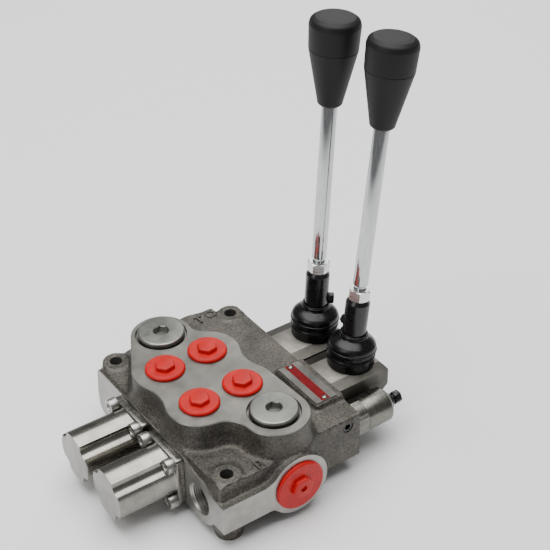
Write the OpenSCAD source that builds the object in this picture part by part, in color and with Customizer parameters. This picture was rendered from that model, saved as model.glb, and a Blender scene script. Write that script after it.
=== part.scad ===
// Two-spool monoblock directional control valve with hand levers.
// X runs along the spools towards the levers, Y across them, Z up from the feet.
// The origin is midway between the two cap-end mounting holes, on the feet.

/* [Body] */
// Height of the machined top above the feet
body_h = 65; // [64:0.5:68]
// Height of the cast shelf above the feet
shelf_h = 46.5; // [46:0.5:48]
// Clearance under the casting between its feet
belly_z = 7; // [5:0.5:8]
// Length between the cap face and the lever face
body_len = 112; // [110:1:116]
// Distance from the mounting holes back to the cap face
cap_face = 12.7; // [12:0.1:14]
// Diameter of a foot
foot_d = 17; // [16:0.5:20]
// Diameter of the mounting holes
foot_hole_d = 8.5; // [8:0.5:9]
// Distance between the two cap-end mounting holes
foot_span_y = 134; // [132:1:136]
// Distance from them to the third mounting hole
foot_span_x = 91.3; // [90:0.1:92]
// Diameter of the plain pad under the lever face
pad_d = 16; // [14:0.5:18]

/* [Ports] */
// Distance from the mounting holes to the middle of the work ports
ports_x = 27.3; // [26:0.1:28]
// Distance between the A and B ports of one spool
port_spacing = 32; // [31:0.5:33]
// Thread diameter of the work ports and the side port
work_thread_d = 20.96; // [18:0.01:21]
// Thread diameter of the inlet and tank ports
main_thread_d = 26.44; // [24:0.01:27]
// Flange diameter of a work port's plastic plug
work_cap_d = 26.1; // [24:0.1:27]
// Flange diameter of an inlet or tank port's plastic plug
main_cap_d = 34.6; // [32:0.1:35]
// Head diameter of the steel plugs
steel_plug_d = 31.6; // [30:0.1:32]

/* [Spools] */
// Distance between the two spools
spool_pitch = 41; // [40.5:0.1:42]
// Height of the spools above the feet
axis_z = 26.5; // [26:0.5:27]
// Diameter of a spool
spool_d = 16; // [15:0.5:16]
// Radial clearance of a spool in its bore
spool_gap = 0.03; // [0.02:0.01:0.1]

/* [Spring caps] */
// Side of the square flange
flange_w = 36; // [35:0.5:37]
// Thickness of the flange
flange_t = 5.5; // [5:0.1:6]
// Length of the cap with its flange
cap_len = 45.5; // [44:0.5:48]
// Distance between neighbouring cap screws
cap_screw_pitch = 29; // [28.5:0.5:30]

/* [Levers] */
// Distance from the lever face to the fulcrum
fulcrum_x = 30.5; // [30:0.5:31]
// Height of the fulcrum above the spool
fulcrum_arm = 21; // [20.5:0.5:21.5]
// Lean of the first lever at rest, in degrees
lean_1 = 3.8; // [3:0.1:5]
// Lean of the second lever at rest, in degrees
lean_2 = 6.8; // [5:0.1:7]
// Distance from the fulcrum to the top of the hub
hub_top = 45.3; // [44:0.1:46]
// Distance from the fulcrum to the foot of the knob
knob_foot = 167.8; // [150:0.1:170]
// Length of the knob
knob_len = 58.6; // [56:0.1:60]
// Largest diameter of the knob
knob_d = 32.4; // [30:0.1:33]

/* [Relief valve] */
// Distance of the relief valve from the middle of the body
relief_y = 52.3; // [52.2:0.1:53]
// Diameter of the relief valve outside the body
relief_d = 23.6; // [22:0.1:23.8]
// Distance it stands out of the body, without its adjuster
relief_out = 35.7; // [34:0.1:37]

/* [Hidden] */
$fn = 48;

// Faces and axes of the casting
cap_x = -cap_face;
box_x = cap_x + body_len;
spool_y = [spool_pitch / 2, -spool_pitch / 2];
lean = [lean_1, lean_2];
port_a_x = ports_x - port_spacing / 2;
port_b_x = ports_x + port_spacing / 2;
feet = [[0, foot_span_y / 2], [0, -foot_span_y / 2], [foot_span_x, foot_span_y / 2]];
pad_pos = [80, -27];
shelf_edge_x = cap_x + 2;
inlet_pos = [43, -82];
tank_pos = [63.5, 81.5];
side_port = [-54.6, 24];
thread_deep = 18;
// Lap of tangent shapes, so that their outlines cross
lap = 0.03;
side_thread_deep = 7.4;
side_drill_d = 12;

// Island: the lobes round its ports and plugs
lobe_r = 21.6;
a1 = [port_a_x, spool_y[0]];
a2 = [port_a_x, spool_y[1]];
b1 = [port_b_x, spool_y[0]];
b2 = [port_b_x, spool_y[1]];
gallery_pos = [28.5, 54];
check_pos = [44.7, -53.3];
gallery_lobe_r = 20.2;
check_lobe = [44.5, -55];
check_lobe_r = 22;
waist_left_r = 30;
waist_right_r = 24;
blend_gallery_r = 13;
blend_check_r = 15.5;

// Steel plugs and the load check below the second one
spot_d = steel_plug_d + 2.4;
spot_deep = 2;
steel_head_t = 3;
steel_thread_d = 27;
steel_thread_end = 46.5;
check_seat_z = 37;
check_chamber_d = 19;
check_seat_d = 13;
check_stem_d = 7.8;
gallery_z = 40;
gallery_d = 4.8;
neutral_z = 15;
neutral_d = 4.6;
neutral_ends = [-62, 45];
main_drill_d = 16;
port_drill_d = 11.4;

// Spool bore, its chambers and the seals at its ends
bore_d = spool_d + 2 * spool_gap;
chamber_d = 25;
chambers = [[0, 5], [8.8, 13.8], [17.5, 22.5], [24.8, 29.8], [32.1, 37.1], [40.8, 45.8], [56, 70]];
feed_x = [20, 34.6];
spool_grooves = [[4.6, 9.2], [15.8, 20.8], [25.2, 29.4], [33.8, 38.8], [46.6, 58]];
groove_d = 11;
seal_pocket_d = 22;
seal_t = 4;
spool_nose_x = cap_x - 1.3;

// Spring cap and what it holds
cap_screw_d = 6;
cap_screw_head_d = 10;
cap_screw_deep = 12;
cap_bore_d = 25;
cap_end_t = 3.2;
cap_round_r = 17.2;
flute_r = 5.9;
seat_d = 24.4;
seat_t = 3;
outer_seat_x = cap_x - 30.3;
bolt_sleeve_d = 10;
bolt_head_d = 12;
bolt_head_t = 4.5;
bolt_thread_d = 6;

// Lever box, fulcrum and lever
box_len = 47;
box_top = 43.5;
box_half = 19.7;
box_wall = 2.5;
cavity_half = 9.6;
collar_d = 26.4;
collar_h = 7.5;
collar_bore_d = 21;
pin_d = 6;
pin_gap = 0.05;
box_screw_d = 5;
box_screw_head_d = 8.5;
box_screw_y = 15.2;
box_screw_z = 11;
box_pocket_d = 8.9;
box_screw_top_x = 33.4;
box_screw_low_x = 17;
pivot_x = box_x + fulcrum_x;
pivot_z = axis_z + fulcrum_arm;
ball_d = 8;
ball_gap = 0.55;
ball_back = 8.8;
ball_x = pivot_x - ball_back;
spool_end_x = ball_x + ball_d / 2 + ball_gap + 2.6;
spool_end_half = 5.2;
hub_d = 16;
hub_cone = 2.6;
hub_bolt_at = 23.4;
hub_bolt_turn = [-35, 90];
nut_turn = [23, -7];
rod_d = 10;
rod_thread_d = 8;
rod_thread_end = 56;
rod_gap = 0.05;
nut_af = 13;
nut_t = 7.4;
rod_in_hub = 14;
rod_in_knob = 20;

// Relief valve
relief_thread_d = 19;
relief_nose_d = 13.8;
relief_tip_x = 58;
relief_step_x = 72;
relief_hex_af = 22;
relief_hex_len = 13.5;
relief_bore_d = 10;
adjuster_d = 8;
adjuster_neck_d = 6;
adjuster_head_len = 5;
lock_nut_len = 4;
adjuster_travel = 1.25;
relief_end_x = box_x + relief_out;
set_plug_x = box_x - 9.6;

// ---- Shapes used more than once ----

module disc(p, r) {
    translate(p) circle(r = r);
}

// Two discs and the band between their outer tangents
module belt(a, ra, b, rb) {
    e = (b - a) / norm(b - a);
    n = [-e.y, e.x];
    s = (ra - rb) / norm(b - a);
    k = sqrt(1 - s * s);
    qa = ra - lap;
    qb = rb - lap;
    disc(a, ra);
    disc(b, rb);
    polygon([a + qa * (s * e + k * n), b + qb * (s * e + k * n),
        b + qb * (s * e - k * n), a + qa * (s * e - k * n)]);
}

// Centre of the circle of radius f that touches two discs, left of the line a to b
function blend_at(a, ra, b, rb, f) =
    let (d = norm(b - a), p = ra + f, q = rb + f,
        u = (p * p - q * q + d * d) / (2 * d),
        e = (b - a) / d)
    a + u * e + sqrt(p * p - u * u) * [-e.y, e.x];

// Hollow blend between two discs
module blend(a, ra, b, rb, f) {
    c = blend_at(a, ra, b, rb, f);
    difference() {
        polygon([a, b, c]);
        disc(c, f + lap);
    }
}

// Cylinders along X and Y between two stations
module rod_x(x0, x1, y, z, d) {
    translate([x0, y, z]) rotate([0, 90, 0]) cylinder(d = d, h = x1 - x0);
}

module rod_y(y0, y1, x, z, d) {
    translate([x, y1, z]) rotate([90, 0, 0]) cylinder(d = d, h = y1 - y0);
}

module ring_x(x0, x1, y, z, d_out, d_in) {
    translate([x0, y, z]) rotate([0, 90, 0]) difference() {
        cylinder(d = d_out, h = x1 - x0);
        translate([0, 0, -1]) cylinder(d = d_in, h = x1 - x0 + 2);
    }
}

// A body's outline in X and Z, given thickness along Y
module slab_y(y0, y1) {
    translate([0, y1, 0]) rotate([90, 0, 0]) linear_extrude(y1 - y0) children();
}

module hex(af, h) {
    cylinder(d = af / cos(30), h = h, $fn = 6);
}

// Socket-head screw: the head's seat is at the origin, the shank points to +X
module socket_screw(d, head_d, length) {
    rotate([0, 90, 0]) cylinder(d = d - 0.1, h = length);
    rotate([0, -90, 0]) difference() {
        cylinder(d = head_d, h = d);
        translate([0, 0, d * 0.4]) hex(d * 0.83, d);
    }
}

// Wire wound along +Z from the origin
module coil(r, wire, length, turns) {
    per_turn = 12;
    sides = 6;
    rings = turns * per_turn;
    pts = [for (i = [0 : rings], j = [0 : sides - 1])
        let (a = 360 * i / per_turn, b = 360 * j / sides, q = r + wire / 2 * cos(b))
        [q * cos(a), q * sin(a), wire / 2 + (length - wire) * i / rings + wire / 2 * sin(b)]];
    walls = [for (i = [0 : rings - 1], j = [0 : sides - 1])
        let (k = (j + 1) % sides)
        [i * sides + j, (i + 1) * sides + j, (i + 1) * sides + k, i * sides + k]];
    start = [for (j = [0 : sides - 1]) j];
    finish = [for (j = [sides - 1 : -1 : 0]) rings * sides + j];
    polyhedron(pts, concat(walls, [start, finish]));
}

// ---- Casting ----

module island_outline() {
    belt(gallery_pos, gallery_lobe_r, a1, lobe_r);
    belt(b2, lobe_r, check_lobe, check_lobe_r);
    disc(a2, lobe_r);
    disc(b1, lobe_r);
    polygon([a1, a2, check_lobe, b2, b1, gallery_pos]);
    blend(a2, lobe_r, a1, lobe_r, waist_left_r);
    blend(b1, lobe_r, b2, lobe_r, waist_right_r);
    blend(check_lobe, check_lobe_r, a2, lobe_r, blend_check_r);
    blend(gallery_pos, gallery_lobe_r, b1, lobe_r, blend_gallery_r);
}

module shelf_outline() {
    corner_r = 9.8;
    disc(feet[0], corner_r);
    disc(gallery_pos, gallery_lobe_r);
    disc([foot_span_x - 1.8, foot_span_y / 2 - 1.5], corner_r);
    translate([shelf_edge_x, -70]) square([box_x - shelf_edge_x, 130]);
    translate([shelf_edge_x, -76]) square([64, 10]);
    translate([46, 55]) square([39, 26.5]);
    translate([46, 55]) square([box_x - 46, 10.5]);
    polygon([[shelf_edge_x, 55], [shelf_edge_x, 69], [0, 76], [12, 74], [24, 55]]);
}

module cap_face_outline() {
    // In Y and Z: the machined pad that takes the caps and the side port
    half = 72;
    polygon([[side_port.x, belly_z], [64, belly_z], [half - 1, 12], [half, 24],
        [half - 1.5, 44], [-40, 44], [side_port.x, side_port.y + 17.5]]);
    translate([side_port.x, side_port.y]) circle(r = 17.5);
    translate([inlet_pos.y, 15.5]) square([30, 20.5]);
}

module casting() {
    pad_t = 2.5;
    difference() {
        union() {
            translate([0, 0, belly_z]) linear_extrude(shelf_h - belly_z) shelf_outline();
            translate([0, 0, 20]) linear_extrude(body_h - 20) island_outline();
            for (p = feet) translate(p) cylinder(d = foot_d, h = shelf_h + 0.6);
            translate([cap_x, 0, 0]) rotate([90, 0, 90]) linear_extrude(pad_t) cap_face_outline();
        }
        // Underside below the relief valve's block
        translate([66, -90, 0]) cube([60, 52, 13]);
    }
    translate([cap_x, inlet_pos.y, 15.5]) cube([inlet_pos.x - cap_x, 20, 20.5]);
    rod_y(inlet_pos.y, -60, inlet_pos.x, axis_z, 43);
    rod_y(60, tank_pos.y, tank_pos.x, axis_z, 42);
    translate(pad_pos) cylinder(d = pad_d, h = belly_z + 2);
    // Raised pad for the nameplate
    translate([78.5, -52, shelf_h - 1]) cube([box_x - 78.5, 46, 4.8]);
}

module foot_holes() {
    for (p = feet) translate([p.x, p.y, -1]) cylinder(d = foot_hole_d, h = body_h);
}

module port_bores() {
    for (p = [a1, a2, b1, b2]) translate([p.x, p.y, body_h - thread_deep]) {
        cylinder(d = work_thread_d, h = thread_deep + 1);
        translate([0, 0, -16]) cylinder(d = port_drill_d, h = 17);
    }
    rod_y(inlet_pos.y - 1, inlet_pos.y + thread_deep + 2, inlet_pos.x, axis_z, main_thread_d);
    rod_y(inlet_pos.y, check_pos.y, inlet_pos.x, axis_z, main_drill_d);
    rod_y(tank_pos.y - thread_deep - 2, tank_pos.y + 1, tank_pos.x, axis_z, main_thread_d);
    rod_y(-46, tank_pos.y, tank_pos.x, axis_z, main_drill_d);
    rod_x(cap_x - 1, cap_x + side_thread_deep, side_port.x, side_port.y, work_thread_d);
    rod_x(cap_x, inlet_pos.x, side_port.x, side_port.y, side_drill_d);
}

module plug_bores() {
    for (p = [gallery_pos, check_pos]) translate([p.x, p.y, 0]) {
        translate([0, 0, body_h - spot_deep]) cylinder(d = spot_d, h = spot_deep + 1);
        translate([0, 0, steel_thread_end]) cylinder(d = steel_thread_d, h = body_h);
        translate([0, 0, check_seat_z]) cylinder(d = check_chamber_d, h = 20);
    }
    translate([check_pos.x, check_pos.y, axis_z]) cylinder(d = check_seat_d, h = 20);
    // Feed gallery behind the load check, to the chambers either side of the middle one
    for (x = feed_x) rod_y(check_pos.y, gallery_pos.y, x, gallery_z, gallery_d);
    rod_x(feed_x[0], check_pos.x, check_pos.y, gallery_z, gallery_d);
    // Neutral line from the inlet through both middle chambers to the tank line
    rod_y(neutral_ends[0], neutral_ends[1], ports_x, neutral_z, neutral_d);
    rod_x(ports_x, inlet_pos.x, neutral_ends[0], neutral_z + 3, 8);
    rod_x(ports_x, tank_pos.x, neutral_ends[1], neutral_z + 3, 8);
}

module spool_bores() {
    for (y = spool_y) {
        rod_x(cap_x - 1, box_x + 1, y, axis_z, bore_d);
        for (c = chambers) rod_x(c[0], c[1], y, axis_z, chamber_d);
        rod_x(cap_x - 1, cap_x + seal_t, y, axis_z, seal_pocket_d);
        rod_x(box_x - seal_t, box_x + 1, y, axis_z, seal_pocket_d);
        for (sy = [-1, 1], sz = [-1, 1]) {
            rod_x(cap_x - 1, cap_x + cap_screw_deep + 1, y + sy * cap_screw_pitch / 2,
                axis_z + sz * cap_screw_pitch / 2, cap_screw_d);
            rod_x(box_x - 13, box_x + 1, y + sy * box_screw_y, axis_z + sz * box_screw_z, box_screw_d);
        }
    }
    rod_y(spool_y[1], spool_y[0], chambers[0][0] + 2.5, axis_z, 4.8);
    rod_x(chambers[0][0] + 2.5, tank_pos.x, 0, axis_z, 8);
}

module relief_bores() {
    rod_x(relief_step_x, box_x + 1, -relief_y, axis_z, relief_thread_d);
    rod_x(relief_tip_x, box_x, -relief_y, axis_z, relief_nose_d + 0.2);
    rod_x(inlet_pos.x, box_x, -relief_y, axis_z, 9);
    rod_y(-71, -60, set_plug_x, 40, 8);
}

module valve_body() {
    color("dimgray") difference() {
        casting();
        foot_holes();
        port_bores();
        plug_bores();
        spool_bores();
        relief_bores();
        for (y = [-10.7, -47.7]) translate([87.5, y, shelf_h - 3]) cylinder(d = 2.4, h = 8);
    }
}

// ---- Plugs ----

// Plastic thread protector: flange on z = 0, knob up, skirt down
module plastic_plug(thread_d, flange_d, knob_d) {
    skirt_d = thread_d - 0.4;
    cylinder(d = flange_d, h = 2.4);
    cylinder(d = knob_d, h = 5.2);
    translate([0, 0, -9]) difference() {
        cylinder(d = skirt_d, h = 10);
        translate([0, 0, -1]) cylinder(d = skirt_d - 3, h = 10);
    }
}

module work_plug(p) {
    color("tomato") translate([p.x, p.y, body_h]) plastic_plug(work_thread_d, work_cap_d, 13);
}

module inlet_port_plug() {
    color("tomato") translate([inlet_pos.x, inlet_pos.y, axis_z]) rotate([90, 0, 0])
        plastic_plug(main_thread_d, main_cap_d, 15);
}

module tank_port_plug() {
    color("tomato") translate([tank_pos.x, tank_pos.y, axis_z]) rotate([-90, 0, 0])
        plastic_plug(main_thread_d, main_cap_d, 15);
}

module steel_plug(p, stem_bore) {
    socket_deep = 6;
    color("silver") translate([p.x, p.y, 0]) difference() {
        union() {
            translate([0, 0, body_h]) cylinder(d = steel_plug_d, h = steel_head_t);
            translate([0, 0, steel_thread_end])
                cylinder(d = steel_thread_d - 0.2, h = body_h - steel_thread_end);
        }
        translate([0, 0, body_h + steel_head_t - socket_deep]) hex(10, socket_deep + 1);
        if (stem_bore) translate([0, 0, steel_thread_end - 1]) cylinder(d = check_stem_d + 0.4, h = 12);
    }
}

module plug_seal(p) {
    color("black") translate([p.x, p.y, body_h - spot_deep]) difference() {
        cylinder(d = steel_plug_d + 1.2, h = spot_deep);
        translate([0, 0, -1]) cylinder(d = steel_thread_d + 0.1, h = 5);
    }
}

module gallery_plug() {
    steel_plug(gallery_pos, false);
}

module check_valve_plug() {
    steel_plug(check_pos, true);
}

module check_poppet() {
    color("silver") translate([check_pos.x, check_pos.y, check_seat_z]) {
        cylinder(d = 16, h = 2);
        cylinder(d = check_stem_d, h = 15);
    }
}

module check_spring() {
    color("gray") translate([check_pos.x, check_pos.y, check_seat_z + 2.1])
        coil(5.4, 1.2, steel_thread_end - check_seat_z - 2.2, 3);
}

// Socket set plug, a little below the block's face
module set_plug() {
    color("black") translate([set_plug_x, -69.6, 40]) rotate([-90, 0, 0]) difference() {
        cylinder(d = 7.9, h = 8);
        translate([0, 0, -1]) hex(4, 4);
    }
}

module nameplate() {
    color("gainsboro") translate([79.5, -50.4, shelf_h + 3.8]) difference() {
        cube([16, 42.4, 0.8]);
        for (y = [2.7, 39.7]) translate([8, y, -1]) cylinder(d = 2.6, h = 3);
    }
}

module nameplate_rivets() {
    color("silver") for (y = [-10.7, -47.7]) translate([87.5, y, shelf_h - 1.5]) {
        cylinder(d = 2.3, h = 6.2);
        translate([0, 0, 6.1]) cylinder(d = 4, h = 0.8);
    }
}

// ---- Relief valve ----

module relief_cartridge() {
    chamfer = 2.5;
    color("silver") difference() {
        union() {
            rod_x(relief_tip_x, relief_step_x, -relief_y, axis_z, relief_nose_d);
            rod_x(relief_step_x, box_x, -relief_y, axis_z, relief_thread_d - 0.1);
            translate([box_x + 1.6, -relief_y, axis_z]) rotate([0, 90, 0])
                hex(relief_hex_af, relief_hex_len);
            rod_x(box_x + relief_hex_len, relief_end_x - chamfer, -relief_y, axis_z, relief_d);
            translate([relief_end_x - chamfer, -relief_y, axis_z]) rotate([0, 90, 0])
                cylinder(d1 = relief_d, d2 = relief_d - 2 * chamfer, h = chamfer);
            rod_x(box_x, box_x + 1.6, -relief_y, axis_z, relief_thread_d - 0.1);
        }
        rod_x(relief_tip_x - 1, relief_end_x, -relief_y, axis_z, 5);
        rod_x(relief_tip_x + 5, relief_end_x - 5, -relief_y, axis_z, relief_bore_d);
        rod_x(relief_end_x - 6, relief_end_x + 1, -relief_y, axis_z, adjuster_d + 0.1);
        // Outlet into the tank line
        rod_y(-relief_y - 10, -relief_y + 10, tank_pos.x + 3, axis_z, 4);
    }
}

module relief_seal() {
    color("black") ring_x(box_x, box_x + 1.6, -relief_y, axis_z, relief_d, relief_thread_d + 0.1);
}

module relief_poppet() {
    x0 = relief_tip_x + 5;
    color("silver") {
        rod_x(x0, x0 + 6, -relief_y, axis_z, relief_bore_d - 0.6);
        rod_x(x0 + 6, x0 + 12, -relief_y, axis_z, 5);
        translate([x0 - 1.5, -relief_y, axis_z]) rotate([0, 90, 0]) cylinder(d1 = 2.4, d2 = 4.6, h = 1.5);
    }
}

module relief_spring() {
    x0 = relief_tip_x + 11.1;
    color("gray") translate([x0, -relief_y, axis_z]) rotate([0, 90, 0]) coil(3.5, 1.4, 38, 7);
}

module relief_spring_seat() {
    x0 = relief_tip_x + 49.3;
    color("silver") rod_x(x0, x0 + 4, -relief_y, axis_z, relief_bore_d - 0.6);
}

module relief_lock_nut() {
    color("black") translate([relief_end_x, -relief_y, axis_z]) rotate([0, 90, 0]) difference() {
        cylinder(d1 = 14, d2 = 8.6, h = lock_nut_len);
        translate([0, 0, -1]) cylinder(d = adjuster_neck_d + 0.1, h = lock_nut_len + 2);
    }
}

module relief_adjuster() {
    x0 = relief_tip_x + 53.4;
    head_x = relief_end_x + lock_nut_len + adjuster_travel + 0.5;
    color("black") {
        rod_x(x0, relief_end_x - 0.2, -relief_y, axis_z, adjuster_d);
        rod_x(x0, head_x, -relief_y, axis_z, adjuster_neck_d);
        translate([head_x, -relief_y, axis_z]) rotate([0, 90, 0]) hex(8, adjuster_head_len);
    }
}

// ---- Spools and spring caps, one of each for spool i ----

module spool(i) {
    y = spool_y[i];
    slot_w = ball_d + 2 * ball_gap;
    color("silver") difference() {
        rod_x(spool_nose_x, spool_end_x, y, axis_z, spool_d);
        for (g = spool_grooves) ring_x(g[0], g[1], y, axis_z, spool_d + 2, groove_d);
        rod_x(spool_nose_x - 1, spool_nose_x + 15, y, axis_z, bolt_thread_d);
        translate([ball_x - slot_w / 2, y - slot_w / 2, axis_z - 10]) cube([slot_w, slot_w, 20]);
        translate([ball_x - slot_w / 2, y - slot_w / 2, axis_z + 3.5]) cube([20, slot_w, 10]);
        translate([ball_x - 7, y - 10, axis_z - spool_end_half - 10]) cube([20, 20, 10]);
    }
}

module seal(x0, i) {
    color("black") ring_x(x0 + 0.2, x0 + seal_t - 0.2, spool_y[i], axis_z, seal_pocket_d - 0.1, bore_d);
}

module spring_cap(i) {
    front = cap_x - flange_t;
    end = cap_x - cap_len;
    color("lightgray") translate([0, spool_y[i], axis_z]) difference() {
        union() {
            translate([front, -flange_w / 2, -flange_w / 2]) cube([flange_t, flange_w, flange_w]);
            translate([end, 0, 0]) rotate([90, 0, 90]) linear_extrude(cap_len - 1) difference() {
                circle(r = cap_round_r, $fn = 96);
                for (sy = [-1, 1], sz = [-1, 1])
                    disc([sy, sz] * cap_screw_pitch / 2, flute_r);
            }
        }
        rod_x(end + cap_end_t, cap_x + 1, 0, 0, cap_bore_d);
        for (sy = [-1, 1], sz = [-1, 1])
            rod_x(front - 1, cap_x + 1, sy * cap_screw_pitch / 2, sz * cap_screw_pitch / 2,
                cap_screw_d + 0.4);
    }
}

module cap_screws(i) {
    color("silver") for (sy = [-1, 1], sz = [-1, 1])
        translate([cap_x - flange_t, spool_y[i] + sy * cap_screw_pitch / 2,
            axis_z + sz * cap_screw_pitch / 2])
            socket_screw(cap_screw_d, cap_screw_head_d, flange_t + cap_screw_deep);
}

module inner_spring_seat(i) {
    color("silver") ring_x(cap_x - seat_t, cap_x, spool_y[i], axis_z, seat_d, spool_d + 0.6);
}

module outer_spring_seat(i) {
    color("silver") ring_x(outer_seat_x, outer_seat_x + seat_t, spool_y[i], axis_z,
        seat_d - 0.4, bolt_sleeve_d + 0.1);
}

module centring_spring(i) {
    gap = 0.1;
    x0 = outer_seat_x + seat_t + gap;
    color("gray") translate([x0, spool_y[i], axis_z]) rotate([0, 90, 0])
        coil(10.2, 2.2, cap_x - seat_t - gap - x0, 5);
}

module spring_bolt(i) {
    y = spool_y[i];
    color("silver") {
        rod_x(spool_nose_x - 1, spool_nose_x + 14, y, axis_z, bolt_thread_d - 0.1);
        rod_x(outer_seat_x, spool_nose_x, y, axis_z, bolt_sleeve_d);
        rod_x(outer_seat_x - bolt_head_t, outer_seat_x, y, axis_z, bolt_head_d);
    }
}

// ---- Levers, one of each for spool i ----

module lever_box(i) {
    y = spool_y[i];
    far = box_x + box_len;
    color("darkgray") difference() {
        union() {
            slab_y(y - box_half, y + box_half) polygon([[box_x, belly_z], [box_x, box_top],
                [far, box_top], [far, 29], [box_x + 34.7, 18.5], [box_x + 14.7, belly_z]]);
            translate([pivot_x, y, box_top - 1]) cylinder(d = collar_d, h = collar_h + 1);
        }
        slab_y(y - cavity_half, y + cavity_half) polygon([[box_x - 1, 12],
            [box_x - 1, box_top - box_wall], [far - 3, box_top - box_wall], [far - 3, 29],
            [box_x + 35.2, 21], [box_x + 15.2, 12]]);
        translate([pivot_x, y, box_top - 10]) cylinder(d = collar_bore_d, h = 30);
        rod_y(y - 20, y + 20, pivot_x, pivot_z, pin_d);
        for (sy = [-1, 1]) {
            rod_x(box_x - 1, far + 1, y + sy * box_screw_y, axis_z + box_screw_z, box_screw_d + 0.4);
            rod_x(box_x - 1, far + 1, y + sy * box_screw_y, axis_z - box_screw_z, box_screw_d + 0.4);
            rod_x(box_x + box_screw_top_x, far + 1, y + sy * box_screw_y, axis_z + box_screw_z, box_pocket_d);
            rod_x(box_x + box_screw_low_x, far + 1, y + sy * box_screw_y, axis_z - box_screw_z, box_pocket_d);
        }
    }
}

module box_screws(i) {
    color("silver") for (sy = [-1, 1]) {
        translate([box_x + box_screw_top_x, spool_y[i] + sy * box_screw_y, axis_z + box_screw_z])
            rotate([0, 0, 180]) socket_screw(box_screw_d, box_screw_head_d, box_screw_top_x + 12);
        translate([box_x + box_screw_low_x, spool_y[i] + sy * box_screw_y, axis_z - box_screw_z])
            rotate([0, 0, 180]) socket_screw(box_screw_d, box_screw_head_d, box_screw_low_x + 12);
    }
}

module fulcrum_pin(i) {
    color("silver") rod_y(spool_y[i] - collar_d / 2 + 0.4, spool_y[i] + collar_d / 2 - 0.4,
        pivot_x, pivot_z, pin_d - 0.02);
}

// Puts a shape drawn along +Z from the fulcrum in its leaning place
module on_lever(i) {
    translate([pivot_x, spool_y[i], pivot_z]) rotate([0, lean[i], 0]) children();
}

module lever_hub(i) {
    arm = norm([ball_back, fulcrum_arm]);
    color("black") on_lever(i) difference() {
        union() {
            translate([0, 0, 2]) cylinder(d = hub_d, h = hub_top - hub_cone - 2);
            translate([0, 0, hub_top - hub_cone]) cylinder(d1 = hub_d, d2 = 13, h = hub_cone);
            rotate([90, 0, 0]) cylinder(d = 14, h = 15, center = true);
            rotate([0, atan(ball_back / fulcrum_arm) - lean[i], 0]) translate([0, 0, -arm]) {
                translate([0, 0, 10]) cylinder(d = 7, h = arm - 10);
                cylinder(d = 5, h = arm);
                sphere(d = ball_d);
            }
        }
        rotate([90, 0, 0]) cylinder(d = pin_d + 2 * pin_gap, h = 30, center = true);
        translate([0, 0, hub_top - rod_in_hub - 1]) cylinder(d = rod_thread_d + 2 * rod_gap, h = 30);
        rotate([0, 0, hub_bolt_turn[i]]) translate([-7.2, 0, hub_bolt_at]) rotate([0, 90, 0])
            cylinder(d = 4, h = 30);
    }
}

module hub_bolt(i) {
    color("black") on_lever(i) rotate([0, 0, hub_bolt_turn[i]]) translate([0, 0, hub_bolt_at])
        rotate([0, 90, 0]) {
            translate([0, 0, -7]) cylinder(d = 3.9, h = 15.6);
            translate([0, 0, hub_d / 2 + 0.1]) rotate([0, 0, 30]) hex(6.6, 3.8);
        }
}

module lock_nut(i) {
    color("silver") on_lever(i) translate([0, 0, hub_top + 0.2]) difference() {
        rotate([0, 0, nut_turn[i]]) hex(nut_af, nut_t);
        translate([0, 0, -1]) cylinder(d = rod_thread_d + 2 * rod_gap, h = 12);
    }
}

module lever_rod(i) {
    color("gainsboro") on_lever(i) {
        translate([0, 0, hub_top - rod_in_hub]) cylinder(d = rod_thread_d, h = 30);
        translate([0, 0, rod_thread_end]) cylinder(d = rod_d, h = knob_foot + rod_in_knob - rod_thread_end);
    }
}

module lever_knob(i) {
    r = knob_d / 2;
    color("black") on_lever(i) translate([0, 0, knob_foot]) difference() {
        rotate_extrude() {
            polygon([[0, 0], [6.4, 0], [7.9, 1.5], [8.3, 3], [r - 0.7, 37.2], [r - 0.5, 38.4],
                [r, knob_len - 5], [r - 0.9, knob_len - 2.4], [r - 2.8, knob_len - 0.6],
                [r - 5, knob_len], [0, knob_len]]);
        }
        translate([0, 0, -1]) cylinder(d = rod_d + 2 * rod_gap, h = rod_in_knob + 2);
    }
}

module lever_boot(i) {
    grip_r = hub_d / 2 + 0.1;
    band_r = collar_d / 2 + 0.2;
    color("dimgray") {
        translate([pivot_x, spool_y[i], box_top]) rotate_extrude() polygon([[band_r, 0],
            [15.9, 0], [15.9, 6.4], [16.6, 7.8], [16.4, 9.2], [15, 10.2], [band_r + 0.6, 8.8],
            [band_r, 7.4]]);
        on_lever(i) rotate_extrude() polygon([[14.3, 4.6], [15.9, 4.4], [16.4, 5.4], [15.2, 6.8],
            [16.5, 8.8], [16.5, 10.6], [15.2, 13], [12, 15.4], [9.9, 16.9], [9.3, 17.7], [9.8, 18.6],
            [9.6, 19.4], [9, 19.9], [grip_r, 19.9], [grip_r, 15.6], [10.5, 14.2], [13.6, 11.4],
            [14.2, 8.8]]);
    }
}

valve_body();
work_plug(a1);  // port_plug_a1
work_plug(b1);  // port_plug_b1
work_plug(a2);  // port_plug_a2
work_plug(b2);  // port_plug_b2
inlet_port_plug();
tank_port_plug();
gallery_plug();
plug_seal(gallery_pos);  // gallery_plug_seal
check_valve_plug();
plug_seal(check_pos);  // check_valve_plug_seal
check_poppet();
check_spring();
nameplate();
nameplate_rivets();
set_plug();
relief_cartridge();
relief_seal();
relief_poppet();
relief_spring();
relief_spring_seat();
relief_lock_nut();
relief_adjuster();
spool(0);  // spool_1
spool(1);  // spool_2
seal(cap_x, 0);  // cap_side_seal_1
seal(cap_x, 1);  // cap_side_seal_2
seal(box_x - seal_t, 0);  // lever_side_seal_1
seal(box_x - seal_t, 1);  // lever_side_seal_2
spring_cap(0);  // spring_cap_1
spring_cap(1);  // spring_cap_2
cap_screws(0);  // cap_screws_1
cap_screws(1);  // cap_screws_2
inner_spring_seat(0);  // inner_spring_seat_1
inner_spring_seat(1);  // inner_spring_seat_2
outer_spring_seat(0);  // outer_spring_seat_1
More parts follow.
